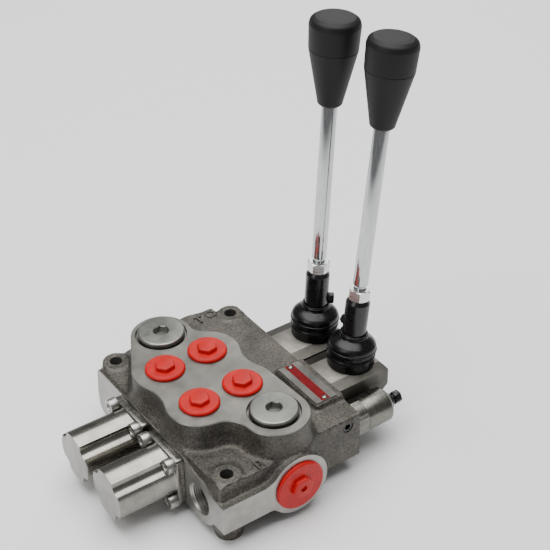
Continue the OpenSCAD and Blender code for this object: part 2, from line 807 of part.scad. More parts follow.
outer_spring_seat(1);  // outer_spring_seat_2
centring_spring(0);  // centring_spring_1
centring_spring(1);  // centring_spring_2
spring_bolt(0);  // spring_bolt_1
spring_bolt(1);  // spring_bolt_2
lever_box(0);  // lever_box_1
lever_box(1);  // lever_box_2
box_screws(0);  // box_screws_1
box_screws(1);  // box_screws_2
fulcrum_pin(0);  // fulcrum_pin_1
fulcrum_pin(1);  // fulcrum_pin_2
lever_hub(0);  // lever_hub_1
lever_hub(1);  // lever_hub_2
hub_bolt(0);  // hub_bolt_1
hub_bolt(1);  // hub_bolt_2
lock_nut(0);  // lock_nut_1
lock_nut(1);  // lock_nut_2
lever_rod(0);  // lever_rod_1
lever_rod(1);  // lever_rod_2
lever_knob(0);  // lever_knob_1
lever_knob(1);  // lever_knob_2
lever_boot(0);  // lever_boot_1
lever_boot(1);  // lever_boot_2
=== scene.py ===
"""Looks of a two-spool monoblock directional control valve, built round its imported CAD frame."""

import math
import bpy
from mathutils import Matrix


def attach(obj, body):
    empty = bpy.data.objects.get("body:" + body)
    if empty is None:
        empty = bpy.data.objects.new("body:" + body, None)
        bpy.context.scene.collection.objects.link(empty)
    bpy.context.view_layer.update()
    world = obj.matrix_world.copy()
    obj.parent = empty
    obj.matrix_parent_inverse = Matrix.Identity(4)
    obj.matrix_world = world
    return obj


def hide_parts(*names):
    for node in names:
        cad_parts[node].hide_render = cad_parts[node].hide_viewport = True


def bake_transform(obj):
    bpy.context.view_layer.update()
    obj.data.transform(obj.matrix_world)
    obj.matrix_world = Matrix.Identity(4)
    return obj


bl_info = {
    "name": "Monoblock control valve",
    "version": (1, 0, 0),
    "blender": (4, 5, 0),
    "location": "View3D > Sidebar > Valve",
    "description": "Builds the casting, caps, plugs, levers and boots of a hydraulic valve",
    "category": "Object",
}

import bmesh
import bpy
from mathutils import Matrix, Vector

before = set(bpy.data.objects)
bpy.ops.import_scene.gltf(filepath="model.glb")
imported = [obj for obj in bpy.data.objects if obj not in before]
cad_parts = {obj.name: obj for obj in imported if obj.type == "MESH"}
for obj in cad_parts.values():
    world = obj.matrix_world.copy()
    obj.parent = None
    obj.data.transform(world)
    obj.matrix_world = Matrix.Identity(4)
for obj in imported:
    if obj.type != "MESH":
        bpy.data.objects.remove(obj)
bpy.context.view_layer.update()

MM = 0.001
ROOT = "housing"

# The valve's own layout, in millimetres and degrees
CAP_X = -12.7
BOX_X = 99.3
TOP_Z = 65.0
SHELF_Z = 46.5
BELLY_Z = 7.0
AXIS_Z = 26.5
SPOOL_Y = (20.5, -20.5)
PORTS = {"a1": (11.3, 20.5), "a2": (11.3, -20.5), "b1": (43.3, 20.5), "b2": (43.3, -20.5)}
GALLERY = (28.5, 54.0)
CHECK = (44.7, -53.3)
CHECK_LOBE = (44.5, -55.0)
INLET = (43.0, -82.0)
TANK = (63.5, 81.5)
SIDE_PORT = (-54.6, 24.0)
FEET = ((0.0, 67.0), (0.0, -67.0), (91.3, 67.0))
PAD = (80.0, -27.0)
PIVOT = (129.8, 47.5)
LEAN = (3.8, 6.8)
BOLT_TURN = (Matrix.Rotation(math.radians(-35), 4, "Z"), Matrix.Rotation(math.radians(90), 4, "Z"))
NUT_TURN = (23.0, -7.0)
RELIEF_Y = -52.3
RELIEF_END = 135.0
SET_PLUG_X = 89.7
INLET_BOSS_R = 21.4
TANK_BOSS_R = 21.0
GALLERY_R = 20.2
PORT_LOBE_R = 21.6
CAP_LENGTH = 45.5
CAP_FLANGE = 5.5
# Screws of a cap and of a lever box, to each side of the spool's axis
CAP_SCREW = 14.5
BOX_SCREW_Y, BOX_SCREW_Z = 15.2, 11.0
# Which row of box screws, up or down, and where its heads sit
BOX_SEATS = ((1, BOX_X + 33.4), (-1, BOX_X + 17.0))
BOX_HALF = 19.7
BOX_FAR = BOX_X + 47
BOX_TOP = 43.5
PLATE_Z = SHELF_Z + 3.8
RIVET_X, RIVET_Y = 87.5, (-10.7, -47.7)
# Heights on a lever, up from its fulcrum, and its ball: towards the casting, and down
HUB_TOP = 45.3
NUT_FOOT = 45.5
HUB_BOLT = 23.4
KNOB_FOOT = 167.8
BALL = (8.8, 21.0)
# Where the camera stands, and its turns: round Z, above the horizon, and about its own axis
CAMERA = (-0.3174, -0.5832, 0.6160)
CAMERA_TURN = (-34.7802, 34.5434, -0.7256)
BOTH = (-1, 1)
CORNERS = [(sy, sz) for sy in BOTH for sz in BOTH]


# ---------------------------------------------------------------- materials

def linear(hexa):
    """An sRGB hex colour as linear red, green, blue and alpha."""
    parts = [int(hexa[i:i + 2], 16) / 255 for i in (1, 3, 5)]
    return [c / 12.92 if c <= 0.04045 else ((c + 0.055) / 1.055) ** 2.4 for c in parts] + [1.0]


def add(tree, kind, settings=None, links=None):
    """Adds a node, sets its properties or unlinked inputs, and links its inputs."""
    node = tree.nodes.new(kind)
    for key, value in (settings or {}).items():
        if isinstance(key, str) and hasattr(node, key):
            setattr(node, key, value)
        else:
            node.inputs[key].default_value = value
    for key, source in (links or {}).items():
        tree.links.new(source, node.inputs[key])
    return node


def surface(name, rough, metallic=0.0, **sockets):
    """A new material with its shader and output; returns the material, its tree and its shader."""
    mat = bpy.data.materials.new(name)
    mat.use_nodes = True
    tree = mat.node_tree
    tree.nodes.clear()
    shader = add(tree, "ShaderNodeBsdfPrincipled", {"Roughness": rough, "Metallic": metallic})
    for key, value in sockets.items():
        shader.inputs[key.replace("_", " ")].default_value = value
    add(tree, "ShaderNodeOutputMaterial", links={"Surface": shader.outputs[0]})
    return mat, tree, shader


def coords(tree, stretch=(1, 1, 1)):
    """Object coordinates in millimetres, stretched along an axis for a directional pattern."""
    where = add(tree, "ShaderNodeTexCoord")
    scale = [1 / MM * s for s in stretch]
    return add(tree, "ShaderNodeMapping", {"Scale": scale}, {"Vector": where.outputs["Object"]}).outputs[0]


def noise(tree, vector, size_mm, detail=4.0, roughness=0.6):
    """Noise with features about size_mm across."""
    return add(tree, "ShaderNodeTexNoise", {"Scale": 1 / size_mm, "Detail": detail, "Roughness": roughness},
               {"Vector": vector}).outputs["Fac"]


def ramp(tree, factor, stops):
    """A colour ramp over a factor; stops are (place, hex)."""
    node = add(tree, "ShaderNodeValToRGB", links={"Fac": factor})
    bar = node.color_ramp
    while len(bar.elements) < len(stops):
        bar.elements.new(0.5)
    for element, (place, hexa) in zip(bar.elements, stops):
        element.position = place
        element.color = linear(hexa)
    return node.outputs["Color"]


def span(tree, factor, low, high, start=0.0, end=1.0):
    """Maps a factor to a range, for roughness."""
    limits = {"From Min": start, "From Max": end, "To Min": low, "To Max": high}
    return add(tree, "ShaderNodeMapRange", limits, {"Value": factor}).outputs["Result"]


def bump(tree, shader, heights):
    """Chains bumps; heights are (height socket, strength, depth in millimetres)."""
    normal = None
    for height, strength, depth in heights:
        node = add(tree, "ShaderNodeBump", {"Strength": strength, "Distance": depth * MM}, {"Height": height})
        if normal is not None:
            tree.links.new(normal, node.inputs["Normal"])
        normal = node.outputs["Normal"]
    tree.links.new(normal, shader.inputs["Normal"])


def cast_iron(opts):
    # Grey iron, sand cast and left oiled: dark, grainy, a little brown where it is dry
    mat, tree, shader = surface("grey_iron_sand_cast", 0.5, 0.55)
    where = coords(tree)
    patches = noise(tree, where, 22, 3)
    grain = noise(tree, where, 1.5, 6, 0.75)
    blotch = noise(tree, where, 5, 3)
    tone = ramp(tree, patches, [(0.3, opts.iron_dark), (0.55, opts.iron), (0.8, "#7f776c")])
    speck = ramp(tree, grain, [(0.38, "#5e5e5e"), (0.6, "#ffffff")])
    mixed = add(tree, "ShaderNodeMix", {"data_type": "RGBA", "blend_type": "MULTIPLY", 0: 0.85},
                {6: tone, 7: speck}).outputs[2]
    tree.links.new(mixed, shader.inputs["Base Color"])
    tree.links.new(span(tree, grain, 0.3, 0.62, 0.35, 0.65), shader.inputs["Roughness"])
    bump(tree, shader, [(blotch, 0.2, 0.6), (grain, 0.6, 0.3)])
    return mat


def milled_iron(opts):
    # The same iron after face milling: lighter, satin, with faint crossing arcs from the cutter
    mat, tree, shader = surface("grey_iron_face_milled", 0.36, 0.85)
    where = coords(tree)
    rings = {"wave_type": "RINGS", "rings_direction": "SPHERICAL",
             "Scale": 0.35, "Distortion": 1.2, "Detail": 2.0}
    arcs = add(tree, "ShaderNodeTexWave", rings, {"Vector": where}).outputs["Fac"]
    clouds = noise(tree, where, 14, 4)
    fine = noise(tree, where, 0.8, 3)
    tone = ramp(tree, clouds, [(0.3, "#75736c"), (0.5, opts.milled), (0.75, "#918e86")])
    tree.links.new(tone, shader.inputs["Base Color"])
    tree.links.new(span(tree, clouds, 0.34, 0.46, 0.3, 0.7), shader.inputs["Roughness"])
    bump(tree, shader, [(arcs, 0.06, 0.05), (fine, 0.12, 0.04)])
    return mat


def grained(name, rough, metallic, tone, stops, fine=None, sheen=None, relief=None, **sockets):
    """A material toned by one noise; its sheen and relief follow a finer noise, or the same one.
    tone and fine are (size in mm, detail, stretch); sheen is the least and most roughness;
    relief is (strength, depth in mm)."""
    mat, tree, shader = surface(name, rough, metallic, **sockets)

    def layer(size_mm, detail, stretch=(1, 1, 1)):
        return noise(tree, coords(tree, stretch), size_mm, detail)

    clouds = layer(*tone)
    lines = layer(*fine) if fine else clouds
    tree.links.new(ramp(tree, clouds, stops), shader.inputs["Base Color"])
    if sheen:
        tree.links.new(span(tree, lines, *sheen, 0.3, 0.7), shader.inputs["Roughness"])
    if relief:
        bump(tree, shader, [(lines, *relief)])
    return mat


def turned(name, low, high, rough, axis, strength=0.15):
    """Turned, drawn or plated metal: fine rings round its axis."""
    stretch = {"x": (1, 0.06, 0.06), "z": (0.06, 0.06, 1)}[axis]
    return grained(name, rough, 1.0, (9, 4), [(0.3, low), (0.7, high)], (0.7, 3, stretch),
                   (rough - 0.06, rough + 0.1), (strength, 0.04))


def red_plastic(opts):
    # Moulded low-density polyethylene: waxy, slightly translucent, soft highlights
    mat = grained("polyethylene_moulded_red", 0.42, 0.0, (6, 3), [(0.3, opts.plug_dark), (0.7, opts.plug)],
                  relief=(0.12, 0.3), Subsurface_Weight=0.05, IOR=1.4)
    shader = next(n for n in mat.node_tree.nodes if n.type == "BSDF_PRINCIPLED")
    shader.inputs["Subsurface Radius"].default_value = (0.004, 0.001, 0.0005)
    return mat


# Each finish by its short name, as a builder that takes the finish settings
SURFACES = {
    "iron": cast_iron,
    "milled": milled_iron,
    # Ground port and cap faces: the same iron, cleaner and more reflective; on a cap's closed end its paler
    # tone is partly painted light
    "ground": lambda o: grained("grey_iron_ground", 0.34, 0.9, (16, 3), [(0.3, "#8b8a86"), (0.7, "#a5a39e")],
                                (0.9, 3, (1, 1, 0.12)), (0.28, 0.44), (0.12, 0.04)),
    # Die-cast aluminium with a shot-blasted skin: grey, soft sheen, fine pitting
    "box": lambda o: grained("aluminium_die_cast", 0.45, 0.85, (11, 4),
                             [(0.3, "#4c4a45"), (0.6, o.aluminium), (0.8, "#6a6760")],
                             (0.7, 4), (0.38, 0.55), (0.4, 0.12)),
    # The pad left by a cutter on the box: paler and slightly scratched
    "pad": lambda o: grained("aluminium_milled_pad", 0.5, 0.75, (7, 4), [(0.3, "#7d7973"), (0.7, "#99948d")],
                             (0.8, 3, (0.2, 1, 1)), None, (0.2, 0.05)),
    # Drawn aluminium of the spring caps: bright, brushed along its length
    "cap": lambda o: grained("aluminium_brushed_bright", 0.3, 1.0, (12, 3),
                             [(0.3, "#7c7a74"), (0.7, "#96938c")],
                             (0.8, 3, (0.05, 1, 1)), (0.18, 0.32), (0.1, 0.04)),
    "red": red_plastic,
    # Moulded nitrile rubber wiped with oil: deep black with a clear sheen
    "rubber": lambda o: grained("nitrile_rubber_moulded", 0.26, 0.0, (4, 4),
                                [(0.35, "#050507"), (0.7, "#0c0c0f")],
                                None, (0.2, 0.34), (0.06, 0.3), IOR=1.42),
    # Moulded phenolic grip: near-black, matt, with the faintest grain
    "knob": lambda o: grained("phenolic_moulded_black", 0.55, 0.0, (0.8, 3),
                              [(0.3, o.knob), (0.8, "#0b0b0c")],
                              relief=(0.15, 0.08), IOR=1.4),
    # Baked enamel over steel: smooth black with small runs and a wet highlight
    "enamel": lambda o: grained("steel_black_enamel", 0.25, 0.0, (3, 4), [(0.3, "#060608"), (0.7, "#0d0d12")],
                                None, (0.2, 0.36), (0.04, 0.2), IOR=1.52),
    # Hard chrome over ground bar: mirror-like, a trace of drawing lines
    "chrome": lambda o: grained("steel_hard_chrome", 0.1, 1.0, (0.8, 2, (1, 1, 0.05)),
                                [(0.3, "#b6b8ba"), (0.7, "#cccdce")], None, (0.06, 0.14)),
    # Screen-printed enamel band on the plate
    "print": lambda o: grained("plate_red_print", 0.5, 0.0, (3, 3),
                               [(0.3, "#5c0008"), (0.7, "#7c0410")], IOR=1.25),
    "zinc_z": lambda o: turned("steel_zinc_plated", "#7c7d78", "#93938d", 0.34, "z"),
    "zinc_x": lambda o: turned("steel_zinc_turned", "#66665f", "#807f77", 0.28, "x", 0.08),
    "nut": lambda o: turned("steel_zinc_bright", "#cfd0cf", "#e4e5e4", 0.3, "z", 0.01),
    "plate": lambda o: turned("aluminium_plate_satin", "#64625f", "#7b7873", 0.36, "z", 0.05),
    "screw": lambda o: turned("steel_zinc_screw", "#9a9a96", "#b9b8b2", 0.34, "x"),
    "ground_steel": lambda o: turned("steel_ground", "#a0a1a2", "#b8b9ba", 0.18, "x"),
    "spring": lambda o: turned("steel_spring_wire", "#5c5c5e", "#77777a", 0.3, "x"),
}
# Materials and node trees made so far, by name
made = {}


def finish_of(key):
    """The material of that name, built once."""
    if key not in made:
        made[key] = SURFACES[key](bpy.context.scene.valve_finish)
    return made[key]


# ---------------------------------------------------------------- mesh tools

def new_object(name, vertices, faces):
    """A mesh object from millimetre points."""
    mesh = bpy.data.meshes.new(name)
    mesh.from_pydata([[c * MM for c in v] for v in vertices], [], faces)
    mesh.update()
    obj = bpy.data.objects.new(name, mesh)
    bpy.context.scene.collection.objects.link(obj)
    return obj


def outward(obj):
    """Merges doubles and points every face outwards."""
    bm = bmesh.new()
    bm.from_mesh(obj.data)
    bmesh.ops.remove_doubles(bm, verts=bm.verts, dist=1e-6)
    bmesh.ops.recalc_face_normals(bm, faces=bm.faces)
    bm.to_mesh(obj.data)
    bm.free()
    return obj


def round_corners(points, radii, steps=5, closed=True):
    """A polyline with its corners rounded; one radius for each point, 0 keeps it sharp."""
    out = []
    count = len(points)
    for i, p in enumerate(points):
        r = radii[i] if isinstance(radii, (list, tuple)) else radii
        if r <= 0 or (not closed and i in (0, count - 1)):
            out.append(tuple(p))
            continue
        p = Vector(p)
        a = Vector(points[i - 1]) - p
        b = Vector(points[(i + 1) % count]) - p
        half = a.angle(b) / 2
        if half > math.pi / 2 - 1e-3:
            out.append(tuple(p))
            continue
        back = min(r / math.tan(half), a.length * 0.49, b.length * 0.49)
        r = back * math.tan(half)
        middle = p + (a.normalized() + b.normalized()).normalized() * r / math.sin(half)
        start = p + a.normalized() * back - middle
        finish = p + b.normalized() * back - middle
        turn = start.angle(finish)
        for k in range(steps + 1):
            t = k / steps
            w = (start * math.sin((1 - t) * turn) + finish * math.sin(t * turn)) / math.sin(turn)
            out.append(tuple(middle + w))
    return out


def lathe(name, profile, segments=96):
    """Turns a profile of (radius, height) round +Z.
    A profile that starts and ends off the axis is closed on itself."""
    rings, vertices, faces = [], [], []
    solid = profile[0][0] < 1e-6 and profile[-1][0] < 1e-6
    for r, h in profile:
        if r < 1e-6:
            rings.append([len(vertices)])
            vertices.append((0, 0, h))
        else:
            rings.append([len(vertices) + k for k in range(segments)])
            vertices += [(r * math.cos(2 * math.pi * k / segments), r * math.sin(2 * math.pi * k / segments),
                          h)
                         for k in range(segments)]
    pairs = list(zip(rings, rings[1:])) + ([] if solid else [(rings[-1], rings[0])])
    for a, b in pairs:
        for k in range(segments):
            n = (k + 1) % segments
            corner = [a[k % len(a)], a[n % len(a)], b[n % len(b)], b[k % len(b)]]
            face = list(dict.fromkeys(corner))
            if len(face) > 2:
                faces.append(face)
    return outward(new_object(name, vertices, faces))


def prism(name, outline, low, high):
    """An outline in X and Y between two heights."""
    return loft(name, [(outline, low), (outline, high)])


def loft(name, sections):
    """Outlines of as many points at rising heights, joined into one solid."""
    n = len(sections[0][0])
    vertices = [(x, y, height) for outline, height in sections for x, y in outline]
    faces = [list(range(n - 1, -1, -1)), list(range(len(vertices) - n, len(vertices)))]
    for k in range(len(sections) - 1):
        faces += [[k * n + i, k * n + (i + 1) % n, (k + 1) * n + (i + 1) % n,
                   (k + 1) * n + i] for i in range(n)]
    return outward(new_object(name, vertices, faces))


def box(name, low, high):
    """A block from its lowest corner to its highest."""
    return prism(name, [(low[0], low[1]), (high[0], low[1]), (high[0], high[1]), (low[0], high[1])], low[2],
                 high[2])


def moved(obj, place=(0, 0, 0), turn=None):
    """Turns a mesh, then moves it by millimetres, and leaves its object at the origin."""
    matrix = Matrix.Translation([c * MM for c in place])
    if turn is not None:
        matrix = matrix @ turn
    obj.data.transform(matrix)
    return obj


ALONG_X = Matrix.Rotation(math.radians(90), 4, "Y")
ALONG_MINUS_X = Matrix.Rotation(math.radians(-90), 4, "Y")
ALONG_MINUS_Y = Matrix.Rotation(math.radians(90), 4, "X")
ALONG_Y = Matrix.Rotation(math.radians(-90), 4, "X")
# An outline drawn as (Y, Z) and raised along X
FACING_X = Matrix(((0, 0, 1, 0), (1, 0, 0, 0), (0, 1, 0, 0), (0, 0, 0, 1)))
# An outline drawn as (X, Z) and raised along -Y
FACING_MINUS_Y = Matrix(((1, 0, 0, 0), (0, 0, -1, 0), (0, 1, 0, 0), (0, 0, 0, 1)))


def rod(name, radius, length, place, turn=None, segments=64):
    """A cylinder that starts at a place and runs along +Z, or the way it is turned."""
    return moved(lathe(name, [(0, 0), (radius, 0), (radius, length), (0, length)], segments), place, turn)


def hexagon(across_flats, turn=0.0):
    """The outline of a hexagon, turned by degrees."""
    r = across_flats / 2 / math.cos(math.radians(30))
    angles = [math.radians(60 * k + turn) for k in range(6)]
    return [(r * math.cos(a), r * math.sin(a)) for a in angles]


def along_y(name, outline, y, half):
    """An (X, Z) outline as wide as half to each side of y."""
    return moved(prism(name, outline, -(y + half), -(y - half)), turn=FACING_MINUS_Y)


def removed(obj):
    """Deletes an object and its mesh."""
    mesh = obj.data
    bpy.data.objects.remove(obj)
    bpy.data.meshes.remove(mesh)


def joined(name, objects):
    """One object from several, their meshes side by side."""
    bm = bmesh.new()
    for o in objects:
        bm.from_mesh(o.data)
        removed(o)
    mesh = bpy.data.meshes.new(name)
    bm.to_mesh(mesh)
    bm.free()
    obj = bpy.data.objects.new(name, mesh)
    bpy.context.scene.collection.objects.link(obj)
    return obj


def applied(obj):
    """Turns the modifiers' result into the object's own mesh."""
    bpy.context.view_layer.update()
    result = bpy.data.meshes.new_from_object(obj.evaluated_get(bpy.context.evaluated_depsgraph_get()))
    obj.modifiers.clear()
    old = obj.data
    obj.data = result
    result.name = obj.name
    bpy.data.meshes.remove(old)
    return obj


def cut(obj, *cutters, how="DIFFERENCE"):
    """Takes the cutters out of an object, or adds or intersects them, and deletes them."""
    for c in cutters:
        mod = obj.modifiers.new("cut", "BOOLEAN")
        mod.operation = how
        mod.object = c
        mod.solver = "MANIFOLD"
    applied(obj)
    if not len(obj.data.polygons):
        raise RuntimeError(f"{obj.name} is empty after a cut")
    for c in cutters:
        removed(c)
    return obj


def bevelled(obj, width, segments=2, angle=30):
    """Breaks the edges sharper than an angle."""
    mod = obj.modifiers.new("edges", "BEVEL")
    mod.width = width * MM
    mod.segments = segments
    mod.limit_method = "ANGLE"
    mod.angle_limit = math.radians(angle)
    mod.harden_normals = False
    return applied(obj)


def shaded(obj, angle=32):
    """Smooth faces with edges sharper than the angle kept crisp."""
    for p in obj.data.polygons:
        p.use_smooth = True
    obj.data.set_sharp_from_angle(angle=math.radians(angle))
    return obj


def piece(obj, body, finishes, nodes=(), rule=None, angle=32):
    """Gives a finished mesh its materials, its body and the CAD nodes it stands for.
    rule takes a face's middle and normal, in millimetres, and returns the number of its finish."""
    shaded(obj, angle)
    obj.data.materials.clear()
    for key in finishes:
        obj.data.materials.append(finish_of(key))
    for p in obj.data.polygons:
        p.material_index = rule([c / MM for c in p.center], p.normal) if rule else 0
    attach(obj, body)
    if nodes:
        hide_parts(*nodes)
    return obj


def keep(node, key):
    """Leaves a CAD node showing, with a finish of its own."""
    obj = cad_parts[node]
    obj.data.materials.clear()
    obj.data.materials.append(finish_of(key))


# ---------------------------------------------------------------- outlines

def blend_centre(a, ra, b, rb, f):
    """Centre of the circle of radius f that touches two discs from outside, left of the line a to b."""
    a, b = Vector(a), Vector(b)
    d = (b - a).length
    p, q = ra + f, rb + f
    u = (p * p - q * q + d * d) / (2 * d)
    e = (b - a) / d
    return a + u * e + math.sqrt(p * p - u * u) * Vector((-e.y, e.x))


def arc(centre, radius, start, finish, turn, step=3.0):
    """Points on a circle from one point to another; turn is 1 anticlockwise, -1 clockwise."""
    a = math.atan2(start.y - centre.y, start.x - centre.x)
    b = math.atan2(finish.y - centre.y, finish.x - centre.x)
    sweep = (b - a) * turn % (2 * math.pi)
    n = max(2, int(math.degrees(sweep) / step))
    angles = [a + turn * sweep * k / n for k in range(n + 1)]
    return [(centre.x + radius * math.cos(t), centre.y + radius * math.sin(t)) for t in angles]


def outline_of(lobes, joins):
    """A closed outline round lobes taken anticlockwise.
    A join is a blend radius, or 0 for a straight tangent."""
    touches = []
    n = len(lobes)
    for i, f in enumerate(joins):
        (a, ra), (b, rb) = lobes[i], lobes[(i + 1) % n]
        a, b = Vector(a), Vector(b)
        if f:
            c = blend_centre(b, rb, a, ra, f)
            touches.append((c, f, a + (c - a).normalized() * ra, b + (c - b).normalized() * rb))
        else:
            e = (b - a).normalized()
            s = (ra - rb) / (b - a).length
            side = Vector((e.y, -e.x)) * math.sqrt(1 - s * s) + e * s
            touches.append((None, 0, a + side * ra, b + side * rb))
    points = []
    for i, (c, r) in enumerate(lobes):
        points += arc(Vector(c), r, touches[i - 1][3], touches[i][2], 1)
        centre, f, leave, arrive = touches[i]
        if centre is not None:
            points += arc(centre, f, leave, arrive, -1)[1:-1]
    return points


def grown(outline, amount):
    """An outline moved outwards by an amount, or inwards if negative."""
    out = []
    n = len(outline)
    for i in range(n):
        a, b = Vector(outline[i - 1]), Vector(outline[(i + 1) % n])
        t = (b - a).normalized()
        out.append((outline[i][0] + t.y * amount, outline[i][1] - t.x * amount))
    return out


def island_outline():
    """The lobes round the ports and plugs, anticlockwise from the gallery plug."""
    a1, a2, b2, b1 = ((PORTS[key], PORT_LOBE_R) for key in ("a1", "a2", "b2", "b1"))
    return outline_of([(GALLERY, GALLERY_R), a1, a2, (CHECK_LOBE, 22.0), b2, b1],
                      [0, 30.0, 15.5, 0, 24.0, 13.0])


# ---------------------------------------------------------------- settings

class ValveFinish(bpy.types.PropertyGroup):
    """Colours of the valve's surfaces, as sRGB hex."""
    iron: bpy.props.StringProperty(name="Cast iron", description="Sand-cast skin", default="#68645d")
    iron_dark: bpy.props.StringProperty(name="Cast iron, shaded", description="Oiled skin", default="#524e48")
    milled: bpy.props.StringProperty(name="Milled iron", description="Machined top face", default="#817f79")
    aluminium: bpy.props.StringProperty(name="Cast aluminium", description="Lever boxes", default="#5a5852")
    plug: bpy.props.StringProperty(name="Plastic plug", description="Port plugs", default="#c40000")
    plug_dark: bpy.props.StringProperty(name="Plastic plug, shaded",
                                        description="Thicker plastic", default="#ac0000")
    knob: bpy.props.StringProperty(name="Knob", description="Grip of a lever", default="#050506")


class ValveSizes(bpy.types.PropertyGroup):
    """Sizes of what the frame leaves open, in metres."""
    cast_voxel: bpy.props.FloatProperty(name="Casting grid", description="Grid the casting is fused on",
                                        default=0.00105, min=0.0008, max=0.003, unit="LENGTH")
    cast_smooth: bpy.props.IntProperty(name="Casting smoothing", default=9, min=0, max=30,
                                       description="Passes that round its cast edges")
    thread_pitch: bpy.props.FloatProperty(name="Lever thread pitch", description="Thread below the lever rod",
                                          default=0.00125, min=0.0005, max=0.002, unit="LENGTH")
    floor_half: bpy.props.FloatProperty(name="Floor half width", description="Half of the floor's side",
                                        default=4.0, min=1.0, max=20.0, unit="LENGTH")


# ---------------------------------------------------------------- casting

def casting_blank():
    """The cast lumps, left long where a cutter will face them, fused and softened."""
    island = island_outline()
    reach = 6
    parts = [
        prism("island", island, 16, TOP_Z + 7),
        loft("island_foot", [(grown(island, 4.0), SHELF_Z - 5), (grown(island, 3.0), SHELF_Z + 0.7)]),
        loft("island_swell", [(grown(island, 2.6), SHELF_Z - 2), (grown(island, 0.4), SHELF_Z + 5.5)]),
        prism("shelf", [(-10.7, -76), (54, -76), (54, -70), (BOX_X + reach, -70), (BOX_X + reach, 65.5),
                        (85, 65.5), (85, 81.5), (46, 81.5), (46, 74), (12, 73.8), (-10.7, 66)],
              BELLY_Z, SHELF_Z),
        prism("corner", arc(Vector((89.5, 65.5)), 9.8, Vector((100, 65.5)), Vector((99.9, 65.5)), 1)[:-1],
              BELLY_Z, SHELF_Z),
        moved(prism("cap_face", round_corners(
            [(-54.6, BELLY_Z), (64, BELLY_Z), (71, 12), (72.3, 23), (70, 44.4), (-38, 44.4), (-54.6, 41.5)],
            [0, 3, 6, 8, 2, 6, 6]), CAP_X - reach, CAP_X + 5), turn=FACING_X),
        rod("side_boss", 17.5, 12, (CAP_X - reach, *SIDE_PORT), ALONG_X),
        box("bar", (CAP_X - reach, INLET[1] - reach, 15.5), (INLET[0], -60, 36)),
        rod("inlet_boss", INLET_BOSS_R, 30, (INLET[0], INLET[1] + 24, AXIS_Z), ALONG_MINUS_Y, 96),
        rod("tank_boss", TANK_BOSS_R, 26, (TANK[0], TANK[1] - 20, AXIS_Z), ALONG_Y, 96),
        box("plate_pad", (78.5, -52, SHELF_Z - 2), (BOX_X + reach, -6, PLATE_Z)),
        rod("level_pad", 8, 14, (*PAD, -4)),
        rod("gallery_lobe", GALLERY_R, SHELF_Z - BELLY_Z, (*GALLERY, BELLY_Z), None, 96),
    ]
    # Blends of the bar into the inlet boss, wide above and tight below
    for sign, edge, f in ((1, 36.0, 13.0), (-1, 15.5, 4.0)):
        z = edge + sign * f
        c = Vector((INLET[0] - math.sqrt((INLET_BOSS_R + f) ** 2 - (z - AXIS_Z) ** 2), z))
        touch = c + (Vector((INLET[0], AXIS_Z)) - c).normalized() * f
        web = [(INLET[0], AXIS_Z), (c.x, AXIS_Z)] + arc(c, f, Vector((c.x, edge)), touch, sign)
        parts.append(moved(prism("web", web, -(INLET[1] + 12), -(INLET[1] - reach)), turn=FACING_MINUS_Y))
    for x, y in FEET:
        parts.append(rod("foot", 8.5, SHELF_Z + 4, (x, y, -4)))
        parts.append(rod("spot", 9.2, SHELF_Z + 1.2, (x, y, 0)))
    blank = joined("valve_casting", parts)
    sizes = bpy.context.scene.valve_sizes
    fuse = blank.modifiers.new("fuse", "REMESH")
    fuse.mode = "VOXEL"
    fuse.voxel_size = sizes.cast_voxel
    soften = blank.modifiers.new("soften", "SMOOTH")
    soften.factor = 0.6
    soften.iterations = sizes.cast_smooth
    return applied(blank)


